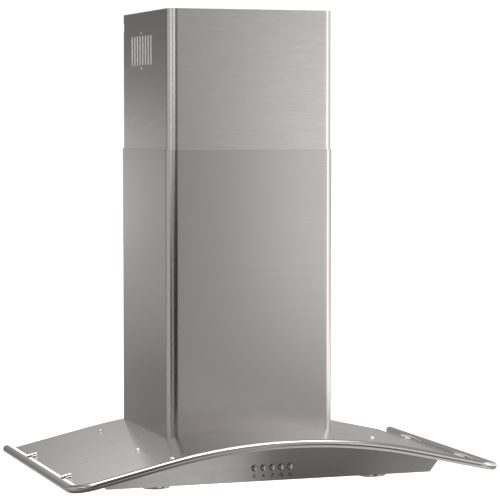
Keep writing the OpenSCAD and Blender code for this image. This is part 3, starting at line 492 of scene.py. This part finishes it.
# Stainless rod, turned and buffed: bright above and dark below
POST_METAL = PolishedMetal("stainless_post_turned", "f6f5f3", 0.1, dark="dcdad7", mark_mm=4.0)
FINISH_OF_SLOT: dict[str, Finish] = {
    "brushed_sheet": UPRIGHT_SHEET,
    # Stainless tube, buffed: thin bright and dark lines along it
    "polished_tube": PolishedMetal("stainless_tube_buffed", "c6c1bf", 0.15),
    # Hot-dipped sheet: dull grey with spangle
    "galvanised": GalvanisedSteel("steel_sheet_galvanised", "b4b8bb", 0.42),
    # Bright zinc plating on steel: near white in soft light
    "zinc_fastener": PolishedMetal(
        "steel_screw_zinc_plated", "fafaf8", 0.36, 0.7, dark="e8e8e5", mark_mm=3.0
    ),
    # Drawn aluminium section, unpolished: fine lines and a dull sheen
    "filter_aluminium": BrushedSteel(
        "aluminium_frame_drawn", "c4c6c8", 0.38, 1.0, grain=Grain.ALONG_X, dark="a9abad"
    ),
    # Slit and stretched aluminium foil: many small dull glints
    "mesh_aluminium": PolishedMetal("aluminium_mesh_expanded", "a9abad", 0.36, dark="85888b"),
    # Moulded ABS and nylon: even, fine mould texture, soft highlight
    "black_plastic": MouldedPlastic("abs_black_moulded", "161617", 0.42),
    "white_plastic": MouldedPlastic("abs_white_moulded", "f4f3f1", 0.4, dark="ebeae7"),
    "grey_plastic": MouldedPlastic("abs_grey_moulded", "5a5c5e", 0.45, dark="47494b"),
    "wheel_plastic": MouldedPlastic("nylon_wheel_moulded", "2e2e30", 0.5, dark="1f1f21"),
    # Chrome plated on moulded ABS: a dark mirror with one sharp light side
    "button_metal": PolishedMetal(
        "abs_button_chrome_plated", "bebec0", 0.08, dark="b0b0b2", mark_mm=2.0
    ),
    # Chrome plated on die-cast zinc: a clean mirror
    "lamp_chrome": PolishedMetal("zinc_lamp_ring_chromed", "dedddb", 0.12, mark_mm=5.0),
    # Pressed glass: clear, with a stipple
    "lamp_glass": PressedGlass("glass_lens_pressed", "eef2f1", 0.22),
    # Aluminium vapour on a formed bowl: a bright mirror
    "lamp_reflector": PolishedMetal("aluminium_reflector_coated", "e6e5e2", 0.1, mark_mm=4.0),
    # Frosted glass: soft and even
    "lamp_bulb": PressedGlass("glass_bulb_frosted", "f3efe2", 0.3, clear=0.6, stipple_mm=0.8),
    # Stoved enamel on sheet steel: grey, with a faint ripple
    "motor_paint": StovedEnamel("motor_enamel_stoved", "5f6368", 0.38),
    # Ground steel rod: bright, with very fine marks
    "ground_shaft": PolishedMetal("steel_shaft_ground", "c6c6c8", 0.22, mark_mm=2.0),
    # Moulded polypropylene and nylon cases: smooth and slightly glossy
    "capacitor_case": MouldedPlastic("polypropylene_can_moulded", "dedcd5", 0.3, dark="cfcdc6"),
    "terminal_plastic": MouldedPlastic("nylon_terminal_moulded", "ece8da", 0.32, dark="dcd8ca"),
}
# Sheets whose grain or tone differs from their slot's own
FINISH_OF_NODE: dict[str, Finish] = {
    "canopy_skin": TOP_SHEET,
    "bottom_panel": TOP_SHEET,
    "lower_flue": LOWER_SHEET,
    "rail_posts": POST_METAL,
}
# Pad-printed ink: matt black
ICON_INK = MouldedPlastic("ink_black_printed", "1c1b1d", 0.6, dark="121113", texture_mm=0.4)


@dataclass
class CadDress:
    """Gives every CAD node that stays the finish of its record slot."""

    record: dict[str, Any]

    def slot_of(self, node: str) -> str:
        """Return the record's slot for a node."""
        return next(r["material_slot"] for r in self.record["subparts"] if r["node"] == node)

    def finish_of(self, node: str) -> Finish:
        """Return the finish that a node wears."""
        return FINISH_OF_NODE.get(node) or FINISH_OF_SLOT[self.slot_of(node)]

    def dress(self, nodes: dict[str, bpy.types.Object]) -> None:
        """Put the finishes on the nodes' own material slots.

        Args:
            nodes: The CAD nodes by name.
        """
        for name, piece in nodes.items():
            material = self.finish_of(name).material()
            if not piece.material_slots:
                piece.data.materials.append(material)
            for place in piece.material_slots:
                place.material = material
        log.info("dressed %d nodes", len(nodes))


# Screws


class Facing(Enum):
    """The way a screw's head points."""

    ARCH = "out of the canopy's curve"
    TAIL_DOWN = "down from the canopy's straight part"
    SIDE = "out to the left or right"


@dataclass
class ScrewSet:
    """Domed screws with a lobed recess that stand for one node's plain screws. Sizes in metres."""

    node: str
    body: str
    facing: Facing
    head_r: float
    head_h: float
    shank_r: float
    shank_len: float
    finish: Finish
    arch_radius: float = 1180 * MM
    arch_half: float = 260 * MM
    # Blower screws above this height are in the sides of the box
    side_screw_z: float = 100 * MM
    # Shares of the shank's radius
    tip: float = 0.7
    chamfer: float = 0.4
    # Shares of the head's radius, and of its height for the rim
    rim: float = 0.97
    rim_height: float = 0.06
    dome_rings: tuple[float, ...] = (0.94, 0.85, 0.72, 0.58)
    recess: float = 0.42
    # The recess: depth over the head's height, floor and lobes over its own radius
    recess_depth: float = 0.6
    recess_floor: float = 0.9
    lobe_wave: float = 0.14
    lobes: int = 6
    steps: int = 36
    seed: int = 7

    def islands(self) -> list[list[Vector]]:
        """Part the node into its separate screws.

        Returns:
            The vertices of each screw.
        """
        form = bmesh.new()
        form.from_mesh(frame["nodes"][self.node].data)
        bmesh.ops.remove_doubles(form, verts=form.verts, dist=1e-6)
        left, found = set(form.verts), []
        while left:
            front, island = [left.pop()], []
            while front:
                at = front.pop()
                island.append(at.co.copy())
                near = {e.other_vert(at) for e in at.link_edges} & left
                left -= near
                front += near
            found.append(island)
        form.free()
        # A set of vertices has no fixed order, and each screw's turn is drawn in this order
        return sorted(found, key=lambda island: min(tuple(point) for point in island))

    def direction(self, centre: Vector) -> Vector:
        """Find the way the head points for a screw at a place.

        Args:
            centre: The screw's middle.

        Returns:
            The unit vector out of the sheet.
        """
        side = math.copysign(1.0, centre.x)
        in_box_side = self.node == "blower_screws" and centre.z > self.side_screw_z
        if self.facing is Facing.SIDE or in_box_side:
            return Vector((side, 0, 0))
        if self.facing is Facing.TAIL_DOWN:
            lean = math.asin(self.arch_half / self.arch_radius)
            return Vector((-side * math.sin(lean), 0, -math.cos(lean)))
        lean = math.asin(centre.x / self.arch_radius)
        return Vector((math.sin(lean), 0, math.cos(lean)))

    def places(self) -> tuple[list[Vector], list[Vector]]:
        """Measure the seats on the CAD screws.

        Returns:
            Each head's seat point, and each head's direction.
        """
        points, axes = [], []
        for island in self.islands():
            low = Vector([min(v[i] for v in island) for i in range(3)])
            high = Vector([max(v[i] for v in island) for i in range(3)])
            axis = self.direction((low + high) / 2)
            across = axis.orthogonal().normalized()
            other = axis.cross(across)
            spans = [[v.dot(d) for v in island] for d in (across, other)]
            middle = [(min(s) + max(s)) / 2 for s in spans]
            top = max(v.dot(axis) for v in island)
            points.append(across * middle[0] + other * middle[1] + axis * (top - self.head_h))
            axes.append(axis)
        return points, axes

    def screw(self) -> bpy.types.Object:
        """Build one screw along +Z, with its head above Z = 0.

        Returns:
            The screw's object.
        """
        ball = (self.head_r**2 + self.head_h**2) / (2 * self.head_h)
        recess = self.recess * self.head_r

        def dome(r: float) -> float:
            """Return the head's height at a distance from its axis."""
            return self.head_h - ball + math.sqrt(max(ball**2 - r**2, 0))

        bottom = dome(recess) - self.head_h * self.recess_depth
        # Each ring: its radius, its height and the wave of its lobes
        rings: list[tuple[float, float, float]] = [
            (self.shank_r * self.tip, -self.shank_len, 0),
            (self.shank_r, -self.shank_len + self.shank_r * self.chamfer, 0),
            (self.shank_r, 0, 0),
            (self.head_r * self.rim, 0, 0),
            (self.head_r, self.head_h * self.rim_height, 0),
            *((self.head_r * s, dome(self.head_r * s), 0) for s in self.dome_rings),
            (recess, dome(recess), self.lobe_wave),
            (recess * self.recess_floor, bottom, self.lobe_wave),
        ]
        form = bmesh.new()
        loops = []
        for radius, z, wave in rings:
            loop = []
            for i in range(self.steps):
                turn = math.tau * i / self.steps
                r = radius * (1 + wave * math.cos(self.lobes * turn))
                loop.append(form.verts.new((r * math.cos(turn), r * math.sin(turn), z)))
            loops.append(loop)
        for below, above in zip(loops, loops[1:]):
            for i in range(self.steps):
                j = (i + 1) % self.steps
                form.faces.new((below[i], below[j], above[j], above[i]))
        form.faces.new(loops[0][::-1])
        form.faces.new(loops[-1])
        return mesh_piece(f"{self.node}_one", form)

    def tree(self) -> bpy.types.NodeTree:
        """Build the tree that sets one screw at each point, turned by chance about its axis.

        Returns:
            The tree.
        """
        tree, start, end = geometry_tree(
            "screws_at_points", {"Screw": "Object", "Seed": "Int", "Finish": "Material"}
        )
        one = add_node(tree, "GeometryNodeObjectInfo", {"Object": start.outputs["Screw"]})
        axis = add_node(
            tree, "GeometryNodeInputNamedAttribute", {0: "axis"}, data_type="FLOAT_VECTOR"
        )
        lean = add_node(
            tree, "FunctionNodeAlignRotationToVector", {"Vector": axis.outputs[0]}, axis="Z"
        )
        chance = {2: 0.0, 3: math.tau, "Seed": start.outputs["Seed"]}
        turn = add_node(tree, "FunctionNodeRandomValue", chance, data_type="FLOAT")
        spin = add_node(
            tree, "FunctionNodeAxisAngleToRotation", {"Axis": (0, 0, 1), "Angle": turn.outputs[1]}
        )
        turns = {0: lean.outputs[0], 1: spin.outputs[0]}
        both = add_node(tree, "FunctionNodeRotateRotation", turns, rotation_space="LOCAL")
        placed = add_node(
            tree,
            "GeometryNodeInstanceOnPoints",
            {
                "Points": start.outputs["Geometry"],
                "Instance": one.outputs["Geometry"],
                "Rotation": both.outputs[0],
            },
        )
        finish_tree(tree, end, placed.outputs[0], start.outputs["Finish"])
        return tree

    def build(self, slot: str) -> None:
        """Build the set, let it stand for its node and fix it to its body.

        Args:
            slot: The record's material slot; not used.
        """
        points, axes = self.places()
        mesh = bpy.data.meshes.new(f"{self.node}_points")
        mesh.from_pydata(points, [], [])
        mesh.attributes.new("axis", "FLOAT_VECTOR", "POINT")
        for item, axis in zip(mesh.attributes["axis"].data, axes):
            item.vector = axis
        base = linked(f"{self.node}_points", mesh)
        one = self.screw()
        tree = bpy.data.node_groups.get("screws_at_points") or self.tree()
        values = {"Screw": one, "Seed": self.seed, "Finish": self.finish.material()}
        made = grow(f"{self.node}_domed", base, tree, values)
        bpy.data.objects.remove(one)
        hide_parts(self.node)
        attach(made, self.body)
        log.info("%s: %d screws", made.name, len(points))


# Grease filters


@dataclass
class ExpandedMesh:
    """Layers of expanded aluminium mesh that stand for one filter's slab. Sizes in metres."""

    side: str
    finish: Finish
    cell: float = 9 * MM
    # Each layer's cells are larger than the ones below by this share of the cell
    cell_growth: float = 0.12
    wire: float = 0.55 * MM
    wire_sides: int = 4
    layers: int = 3
    wave_height: float = 1.3 * MM
    waves: int = 11
    inset: float = 0.6 * MM

    def tree(self) -> bpy.types.NodeTree:
        """Build the tree of zigzag wires whose mirrored neighbours close into diamonds.

        Returns:
            The tree.
        """
        tree, start, end = geometry_tree(
            "expanded_mesh_layer",
            {
                "Width": "Float",
                "Depth": "Float",
                "Cell": "Float",
                "Wire": "Float",
                "Wave height": "Float",
                "Waves": "Int",
                "Corner": "Vector",
                "Finish": "Material",
            },
        )
        given = start.outputs

        def sums(what: str, a: Any, b: Any = 0.0) -> Any:
            """Add one calculation.

            Args:
                what: The operation's name.
                a: Its first value or socket.
                b: Its second value or socket.

            Returns:
                The result's socket.
            """
            return add_node(tree, "ShaderNodeMath", {0: a, 1: b}, operation=what).outputs[0]

        def vector(x: Any = 0.0, y: Any = 0.0, z: Any = 0.0) -> Any:
            """Join three values or sockets into a vector.

            Args:
                x: The part along X.
                y: The part along Y.
                z: The part along Z.

            Returns:
                The vector's socket.
            """
            return add_node(tree, "ShaderNodeCombineXYZ", {0: x, 1: y, 2: z}).outputs[0]

        half = sums("MULTIPLY", given["Cell"], 0.5)
        rows = sums("FLOOR", sums("DIVIDE", given["Depth"], half))
        columns = sums("FLOOR", sums("DIVIDE", given["Width"], given["Cell"]))
        step_y = sums("DIVIDE", given["Depth"], rows)
        step_x = sums("DIVIDE", given["Width"], columns)
        index = add_node(tree, "GeometryNodeInputIndex").outputs[0]
        odd = sums("SUBTRACT", sums("MODULO", index, 2.0), 0.5)
        nodes = {"Count": sums("ADD", rows, 1.0), "Offset": vector(y=step_y)}
        line = add_node(tree, "GeometryNodeMeshLine", nodes)
        aside = vector(x=sums("MULTIPLY", odd, step_x))
        moved = {"Geometry": line.outputs[0], "Offset": aside}
        zigzag = add_node(tree, "GeometryNodeSetPosition", moved)
        curve = add_node(tree, "GeometryNodeMeshToCurve", {0: zigzag.outputs[0]})
        places = add_node(
            tree,
            "GeometryNodeMeshLine",
            {
                "Count": columns,
                "Start Location": vector(x=sums("MULTIPLY", step_x, 0.5)),
                "Offset": vector(x=step_x),
            },
        )
        mirrored = sums("MULTIPLY", odd, 2.0)
        set_out = add_node(
            tree,
            "GeometryNodeInstanceOnPoints",
            {
                "Points": places.outputs[0],
                "Instance": curve.outputs[0],
                "Scale": vector(mirrored, 1.0, 1.0),
            },
        )
        wires = add_node(tree, "GeometryNodeRealizeInstances", {0: set_out.outputs[0]})
        spot = add_node(tree, "GeometryNodeInputPosition").outputs[0]
        x = add_node(tree, "ShaderNodeSeparateXYZ", {0: spot}).outputs[0]
        turns = sums("MULTIPLY", given["Waves"], math.tau)
        phase = sums("MULTIPLY", sums("DIVIDE", x, given["Width"]), turns)
        wave = sums("MULTIPLY", sums("SINE", phase), given["Wave height"])
        rise = add_node(tree, "ShaderNodeVectorMath", {0: vector(z=wave), 1: given["Corner"]})
        moved = {"Geometry": wires.outputs[0], "Offset": rise.outputs[0]}
        waved = add_node(tree, "GeometryNodeSetPosition", moved)
        form = {"Resolution": self.wire_sides, "Radius": given["Wire"]}
        ring = add_node(tree, "GeometryNodeCurvePrimitiveCircle", form)
        tubes = add_node(
            tree,
            "GeometryNodeCurveToMesh",
            {0: waved.outputs[0], "Profile Curve": ring.outputs[0], "Fill Caps": True},
        )
        finish_tree(tree, end, tubes.outputs[0], given["Finish"])
        return tree

    def build(self, slot: str) -> None:
        """Build the layers inside the slab's own box and fix them to the filter.

        Args:
            slot: The record's material slot; not used.
        """
        node = f"{self.side}_filter_mesh"
        low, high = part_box(node)
        edge = self.inset + self.wire
        room = high.z - low.z - 2 * (self.wave_height + self.wire)
        tree = bpy.data.node_groups.get("expanded_mesh_layer") or self.tree()
        for layer in range(self.layers):
            z = low.z + self.wave_height + self.wire + room * layer / (self.layers - 1)
            base = linked(f"{node}_base", bpy.data.meshes.new(f"{node}_base"))
            values = {
                "Width": high.x - low.x - 2 * edge,
                "Depth": high.y - low.y - 2 * edge,
                "Cell": self.cell * (1 + self.cell_growth * layer),
                "Wire": self.wire,
                "Wave height": self.wave_height,
                "Waves": self.waves,
                "Corner": (low.x + edge, low.y + edge, z),
                "Finish": self.finish.material(),
            }
            made = grow(f"{self.side}_filter_layer_{layer + 1}", base, tree, values)
            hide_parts(node)
            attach(made, f"{self.side}_filter")
        log.info("%s: %d layers", node, self.layers)


# Icons under the buttons


@dataclass
class PanelIcons:
    """Generic icons printed under the buttons: power, one to three fan blades, lamp."""

    finish: Finish
    drop: float = 16 * MM
    radius: float = 4.1 * MM
    ink: float = 0.06 * MM
    gap: float = 0.02 * MM
    ring_steps: int = 28
    # A closed ring's seam, too thin to see
    seam_deg: float = 0.5
    # Shares of an icon's radius from here on, apart from counts and angles
    power_ring: tuple[float, float] = (0.62, 0.9)
    power_gap_deg: float = 60
    power_bar: float = 0.1
    lamp_ring: tuple[float, float] = (0.36, 0.66)
    rays: int = 8
    ray_ends: tuple[float, float] = (0.78, 1.05)
    ray_half: float = 0.14
    one_blade: float = 0.62
    blade: float = 0.5
    blade_reach: float = 0.62
    first_blade_deg: float = 60
    blade_steps: int = 16
    # A blade's height over its width
    blade_form: float = 0.85
    buttons: tuple[str, ...] = (
        "power_button",
        "speed_one_button",
        "speed_two_button",
        "speed_three_button",
        "light_button",
    )

    def outline(self, form: Any, points: Sequence[tuple[float, float]], at: Vector) -> None:
        """Add one closed flat shape with the ink's thickness.

        Args:
            form: The bmesh that gets it.
            points: The outline in the panel's plane, from the icon's middle.
            at: The icon's middle on the panel's face.
        """
        front, back = (
            [form.verts.new((at.x + u, at.y - y, at.z + v)) for u, v in points]
            for y in (self.gap + self.ink, self.gap)
        )
        form.faces.new(front)
        form.faces.new(back[::-1])
        for i in range(len(points)):
            j = (i + 1) % len(points)
            form.faces.new((front[i], back[i], back[j], front[j]))

    def ring(self, form: Any, at: Vector, inner: float, outer: float, gap_deg: float = 0) -> None:
        """Add a ring, open at the top by an angle.

        Args:
            form: The bmesh that gets it.
            at: The ring's middle.
            inner: Its inner radius.
            outer: Its outer radius.
            gap_deg: The opening's angle.
        """
        gap = math.radians(max(gap_deg, self.seam_deg))
        first, span = (math.pi + gap) / 2, math.tau - gap
        turns = [first + span * i / self.ring_steps for i in range(self.ring_steps + 1)]
        outline = [(outer * math.cos(t), outer * math.sin(t)) for t in turns]
        outline += [(inner * math.cos(t), inner * math.sin(t)) for t in reversed(turns)]
        self.outline(form, outline, at)

    def blades(self, form: Any, at: Vector, count: int) -> None:
        """Add round fan blades about the icon's middle.

        Args:
            form: The bmesh that gets them.
            at: The icon's middle.
            count: How many blades.
        """
        size = self.radius * (self.one_blade if count == 1 else self.blade)
        reach = 0.0 if count == 1 else self.radius * self.blade_reach
        steps = [math.tau * k / self.blade_steps for k in range(self.blade_steps)]
        for i in range(count):
            turn = math.radians(self.first_blade_deg) + math.tau * i / count
            x, z = reach * math.cos(turn), reach * math.sin(turn)
            blade = [
                (x + size * math.cos(t), z + size * self.blade_form * math.sin(t)) for t in steps
            ]
            self.outline(form, blade, at)

    def power(self, form: Any, at: Vector) -> None:
        """Add the power sign, an open ring with a bar in its gap.

        Args:
            form: The bmesh that gets it.
            at: The sign's middle.
        """
        inner, outer = (self.radius * share for share in self.power_ring)
        self.ring(form, at, inner, outer, self.power_gap_deg)
        half, top = self.radius * self.power_bar, self.radius
        self.outline(form, [(-half, 0), (half, 0), (half, top), (-half, top)], at)

    def lamp(self, form: Any, at: Vector) -> None:
        """Add the lamp sign, a ring with rays about it.

        Args:
            form: The bmesh that gets it.
            at: The sign's middle.
        """
        self.ring(form, at, *(self.radius * share for share in self.lamp_ring))
        near, far = (self.radius * share for share in self.ray_ends)
        half = self.radius * self.ray_half
        corners = ((near, half), (far, half), (far, -half), (near, -half))
        for k in range(self.rays):
            turn = math.tau * k / self.rays
            u, v = math.cos(turn), math.sin(turn)
            ray = [(u * out - v * side, v * out + u * side) for out, side in corners]
            self.outline(form, ray, at)

    def build(self) -> None:
        """Build all five icons as one printed piece on the front panel."""
        form = bmesh.new()
        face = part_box("front_panel")[0].y
        for place, button in enumerate(self.buttons):
            low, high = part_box(button)
            at = Vector(((low.x + high.x) / 2, face, (low.z + high.z) / 2 - self.drop))
            if button == "power_button":
                self.power(form, at)
            elif button == "light_button":
                self.lamp(form, at)
            else:
                self.blades(form, at, place)
        made = mesh_piece("panel_icons", form, smooth=False)
        made.data.materials.append(self.finish.material())
        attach(made, "hood")
        log.info("panel_icons: %d icons", len(self.buttons))


# Studio


@dataclass(frozen=True)
class Glow:
    """A soft patch of light on a wall, or of shade where its level is under the wall's own.
    Metres along the wall's two directions."""

    low: tuple[float, float]
    high: tuple[float, float]
    level: float
    fade: float = 0.3

    def share(self, at: tuple[float, float]) -> float:
        """Return how far the patch rules a place.

        Args:
            at: The place across and up the wall.

        Returns:
            1 inside the patch, falling to 0 over its fading edge.
        """
        share = 1.0
        for place, low, high in zip(at, self.low, self.high):
            outside = max(low - place, place - high, 0.0)
            share *= max(0.0, 1.0 - outside / self.fade)
        return share * share * (3 - 2 * share)


@dataclass
class LightWall:
    """A flat wall of light that only reflections see, with soft patches on it. Its reach and
    its patches are metres from its origin, across and up."""

    name: str
    origin: tuple[float, float, float]
    across: tuple[float, float, float]
    up: tuple[float, float, float]
    low: tuple[float, float]
    high: tuple[float, float]
    level: float
    glows: tuple[Glow, ...] = ()
    step: float = 0.1

    def tone(self, at: tuple[float, float]) -> float:
        """Work out the wall's brightness at a place.

        Args:
            at: The place across and up the wall.

        Returns:
            The brightness there.
        """
        level = self.level
        for glow in self.glows:
            level += (glow.level - level) * glow.share(at)
        return level

    def material(self) -> bpy.types.Material:
        """Build the glow that reads the wall's brightness.

        Returns:
            The material.
        """
        made = bpy.data.materials.new(f"{self.name}_glow")
        made.use_nodes = True
        tree = made.node_tree
        tree.nodes.clear()
        tone = add_node(tree, "ShaderNodeAttribute", attribute_name="tone").outputs["Fac"]
        glow = add_node(tree, "ShaderNodeEmission", {"Strength": tone})
        add_node(tree, "ShaderNodeOutputMaterial", {"Surface": glow.outputs[0]})
        return made

    def build(self) -> None:
        """Build the wall as one stage piece."""
        wide, tall = (round((b - a) / self.step) for a, b in zip(self.low, self.high))
        places = [
            (self.low[0] + i * self.step, self.low[1] + j * self.step)
            for j in range(tall + 1)
            for i in range(wide + 1)
        ]
        points = [
            Vector(self.origin) + Vector(self.across) * c + Vector(self.up) * r for c, r in places
        ]
        row = wide + 1
        faces = [
            (k, k + 1, k + 1 + row, k + row)
            for j in range(tall)
            for k in range(j * row, j * row + wide)
        ]
        mesh = bpy.data.meshes.new(self.name)
        mesh.from_pydata(points, [], faces)
        layer = mesh.attributes.new("tone", "FLOAT", "POINT")
        layer.data.foreach_set("value", [self.tone(at) for at in places])
        mesh.materials.append(self.material())
        made = linked(self.name, mesh)
        made.visible_camera = made.visible_diffuse = made.visible_shadow = False


def light_walls() -> list[LightWall]:
    """List the studio's walls of light, set as soft boxes, cards and shade.

    Returns:
        The walls.
    """
    x_axis, y_axis, z_axis = (1, 0, 0), (0, 1, 0), (0, 0, 1)
    dark_card = Glow((-1.0, -0.2), (0.0, 0.6), 0.03)
    upper_shade = Glow((-0.4, 0.7), (0.0, 1.5), 0.2)
    upper_box = Glow((-1.3, 0.8), (-0.7, 1.5), 1.4)
    right_box = Glow((0.85, 0.3), (1.8, 0.9), 1.1, fade=0.5)
    front_shade = Glow((-1.7, -0.1), (-1.1, 0.3), 0.1, fade=0.6)
    front_box = Glow((-1.7, 0.9), (-1.1, 1.2), 1.4, fade=0.6)
    middle_card = Glow((-0.2, 0.5), (0.0, 0.7), 0.85)
    top_shade = Glow((-1.5, 1.0), (-0.2, 1.5), 0.2, fade=0.45)
    low_shade = Glow((-0.8, -0.1), (-0.4, 0.05), 0.27, fade=0.25)
    low_card = Glow((-0.1, -0.1), (0.05, 0.0), 0.8, fade=0.2)
    low_dark_card = Glow((0.2, -0.1), (0.4, 0.0), 0.03, fade=0.1)
    low_right_box = Glow((0.7, -0.4), (0.9, -0.15), 1.0, fade=0.15)
    side_box = Glow((-1.7, -0.1), (-0.8, 1.2), 2.2)
    low_side_box = Glow((-0.8, -0.1), (0.5, 0.0), 2.2, fade=0.2)
    overhead_box = Glow((-0.8, -1.4), (0.8, -0.7), 5.0)
    underside_box = Glow((0.4, -1.8), (1.2, 0.3), 0.9, fade=0.3)
    return [
        LightWall(
            "front_wall", (0, -1.9, 0), x_axis, z_axis, (-1.3, -0.2), (1.8, 1.5),
            level=0.47, glows=(dark_card, upper_shade, upper_box, right_box),
        ),
        LightWall(
            "low_wall", (0, -1.0, 0), x_axis, z_axis, (-0.7, -0.4), (0.9, 0.0),
            level=0.25, glows=(low_card, low_dark_card, low_right_box),
        ),
        LightWall(
            "left_wall", (-1.7, 0, 0), y_axis, z_axis, (-1.7, -0.1), (0.5, 1.2),
            level=0.7, glows=(front_shade, front_box),
        ),
        LightWall(
            "back_wall", (0, 0.55, 0), x_axis, z_axis, (-1.5, -0.1), (1.5, 1.5),
            level=0.45, glows=(middle_card, top_shade, low_shade),
        ),
        LightWall(
            "ceiling", (0, 0, 1.9), x_axis, y_axis, (-1.2, -1.6), (1.2, 0.3),
            level=1.2, glows=(overhead_box,),
        ),
        LightWall(
            "right_wall", (1.8, 0, 0), y_axis, z_axis, (-1.7, -0.1), (0.5, 1.2),
            level=1.2, glows=(side_box, low_side_box),
        ),
        LightWall(
            "underside", (0, 0, -0.7), x_axis, y_axis, (-1.2, -1.8), (1.2, 0.3),
            level=0.15, glows=(underside_box,),
        ),
    ]


@dataclass
class Studio:
    """Pale floor, one soft lamp, walls of light and the camera. Metres, but for the lens."""

    camera_at: tuple[float, float, float] = (-1.4692, -4.5813, 0.7219)
    look: tuple[float, float, float] = (0.32546, 0.94372, -0.05887)
    lens_mm: float = 158.12
    sensor_mm: float = 36.0
    clip: tuple[float, float] = (0.05, 200.0)
    floor_z: float = -3.0
    floor_size: float = 60.0
    sky: float = 0.45
    backdrop: float = 1.05
    spot_at: tuple[float, float, float] = (1.35, -2.3, 0.75)
    spot_aim: tuple[float, float, float] = (0, -0.3, 0.1)
    spot_size: float = 0.9
    spot_watts: float = 5.0
    walls: list[LightWall] = field(default_factory=light_walls)

    def world(self) -> None:
        """Make a white backdrop for the camera and an even sky for light and reflections."""
        made = bpy.data.worlds.new("studio_world")
        bpy.context.scene.world = made
        made.use_nodes = True
        tree = made.node_tree
        tree.nodes.clear()
        soft, white = (
            add_node(tree, "ShaderNodeBackground", {"Color": (1, 1, 1, 1), "Strength": strength})
            for strength in (self.sky, self.backdrop)
        )
        seen = add_node(tree, "ShaderNodeLightPath").outputs["Is Camera Ray"]
        both = add_node(
            tree, "ShaderNodeMixShader", {0: seen, 1: soft.outputs[0], 2: white.outputs[0]}
        )
        add_node(tree, "ShaderNodeOutputWorld", {"Surface": both.outputs[0]})

    def floor(self) -> None:
        """Lay the pale floor well below the hung hood."""
        form = bmesh.new()
        bmesh.ops.create_grid(form, x_segments=1, y_segments=1, size=self.floor_size)
        bmesh.ops.translate(form, verts=form.verts, vec=(0, 0, self.floor_z))
        made = mesh_piece("floor", form, smooth=False)
        material = bpy.data.materials.new("floor_pale")
        material.use_nodes = True
        shader = material.node_tree.nodes["Principled BSDF"]
        shader.inputs["Base Color"].default_value = linear("f6f6f6")
        shader.inputs["Roughness"].default_value = 0.9
        shader.inputs["Emission Color"].default_value = (1, 1, 1, 1)
        shader.inputs["Emission Strength"].default_value = 1.0
        made.data.materials.append(material)
        made.visible_glossy = False

    def lamp(
        self, name: str, at: Sequence[float], aim: Sequence[float], size: float, watts: float
    ) -> None:
        """Hang one soft square light.

        Args:
            name: The light's name.
            at: Its place.
            aim: The point that it faces.
            size: The length of its side.
            watts: Its power.
        """
        light = bpy.data.lights.new(name, "AREA")
        light.size, light.energy = size, watts
        made = linked(name, light)
        made.location = at
        made.rotation_euler = (Vector(aim) - Vector(at)).to_track_quat("-Z", "Y").to_euler()
        made.visible_camera = False

    def camera(self) -> None:
        """Place the camera at the photograph's viewing angle."""
        data = bpy.data.cameras.new("camera")
        data.sensor_width, data.lens = self.sensor_mm, self.lens_mm
        data.clip_start, data.clip_end = self.clip
        made = linked("camera", data)
        made.location = self.camera_at
        made.rotation_euler = Vector(self.look).to_track_quat("-Z", "Y").to_euler()
        bpy.context.scene.camera = made

    def build(self) -> None:
        """Set up the whole studio."""
        self.world()
        self.floor()
        for wall in self.walls:
            wall.build()
        self.lamp("key_spot", self.spot_at, self.spot_aim, self.spot_size, self.spot_watts)
        bpy.context.scene.view_settings.view_transform = "Standard"
        self.camera()
        log.info("studio ready")


def screw_sets(cad: CadDress) -> list[ScrewSet]:
    """List the screw sets with the sizes that their nodes have.

    Args:
        cad: The finishes of the CAD nodes.

    Returns:
        One set for each screw node.
    """
    rows = (
        ("canopy_screws", "hood", Facing.ARCH, 5.4, 4.4, 1.95, 6.5),
        ("rail_screws", "hood", Facing.TAIL_DOWN, 3.8, 2.4, 1.95, 5.5),
        ("blower_screws", "hood", Facing.ARCH, 3.2, 2.0, 1.7, 5.0),
        ("foot_screws", "hood", Facing.ARCH, 3.0, 1.8, 1.7, 5.0),
        ("vent_screws", "upper_chimney", Facing.SIDE, 2.6, 0.9, 1.25, 5.0),
    )
    return [
        ScrewSet(node, body, way, *(size * MM for size in sizes), finish=cad.finish_of(node))
        for node, body, way, *sizes in rows
    ]


def main() -> None:
    """Build the classes in order."""
    logging.basicConfig(level=logging.INFO, format="%(message)s")
    cad = CadDress(frame["record"])
    cad.dress(frame["nodes"])
    for screws in screw_sets(cad):
        screws.build(cad.slot_of(screws.node))
    for side in ("left", "right"):
        node = f"{side}_filter_mesh"
        ExpandedMesh(side, cad.finish_of(node)).build(cad.slot_of(node))
    PanelIcons(ICON_INK).build()
    Studio().build()


if __name__ == "__main__":
    main()
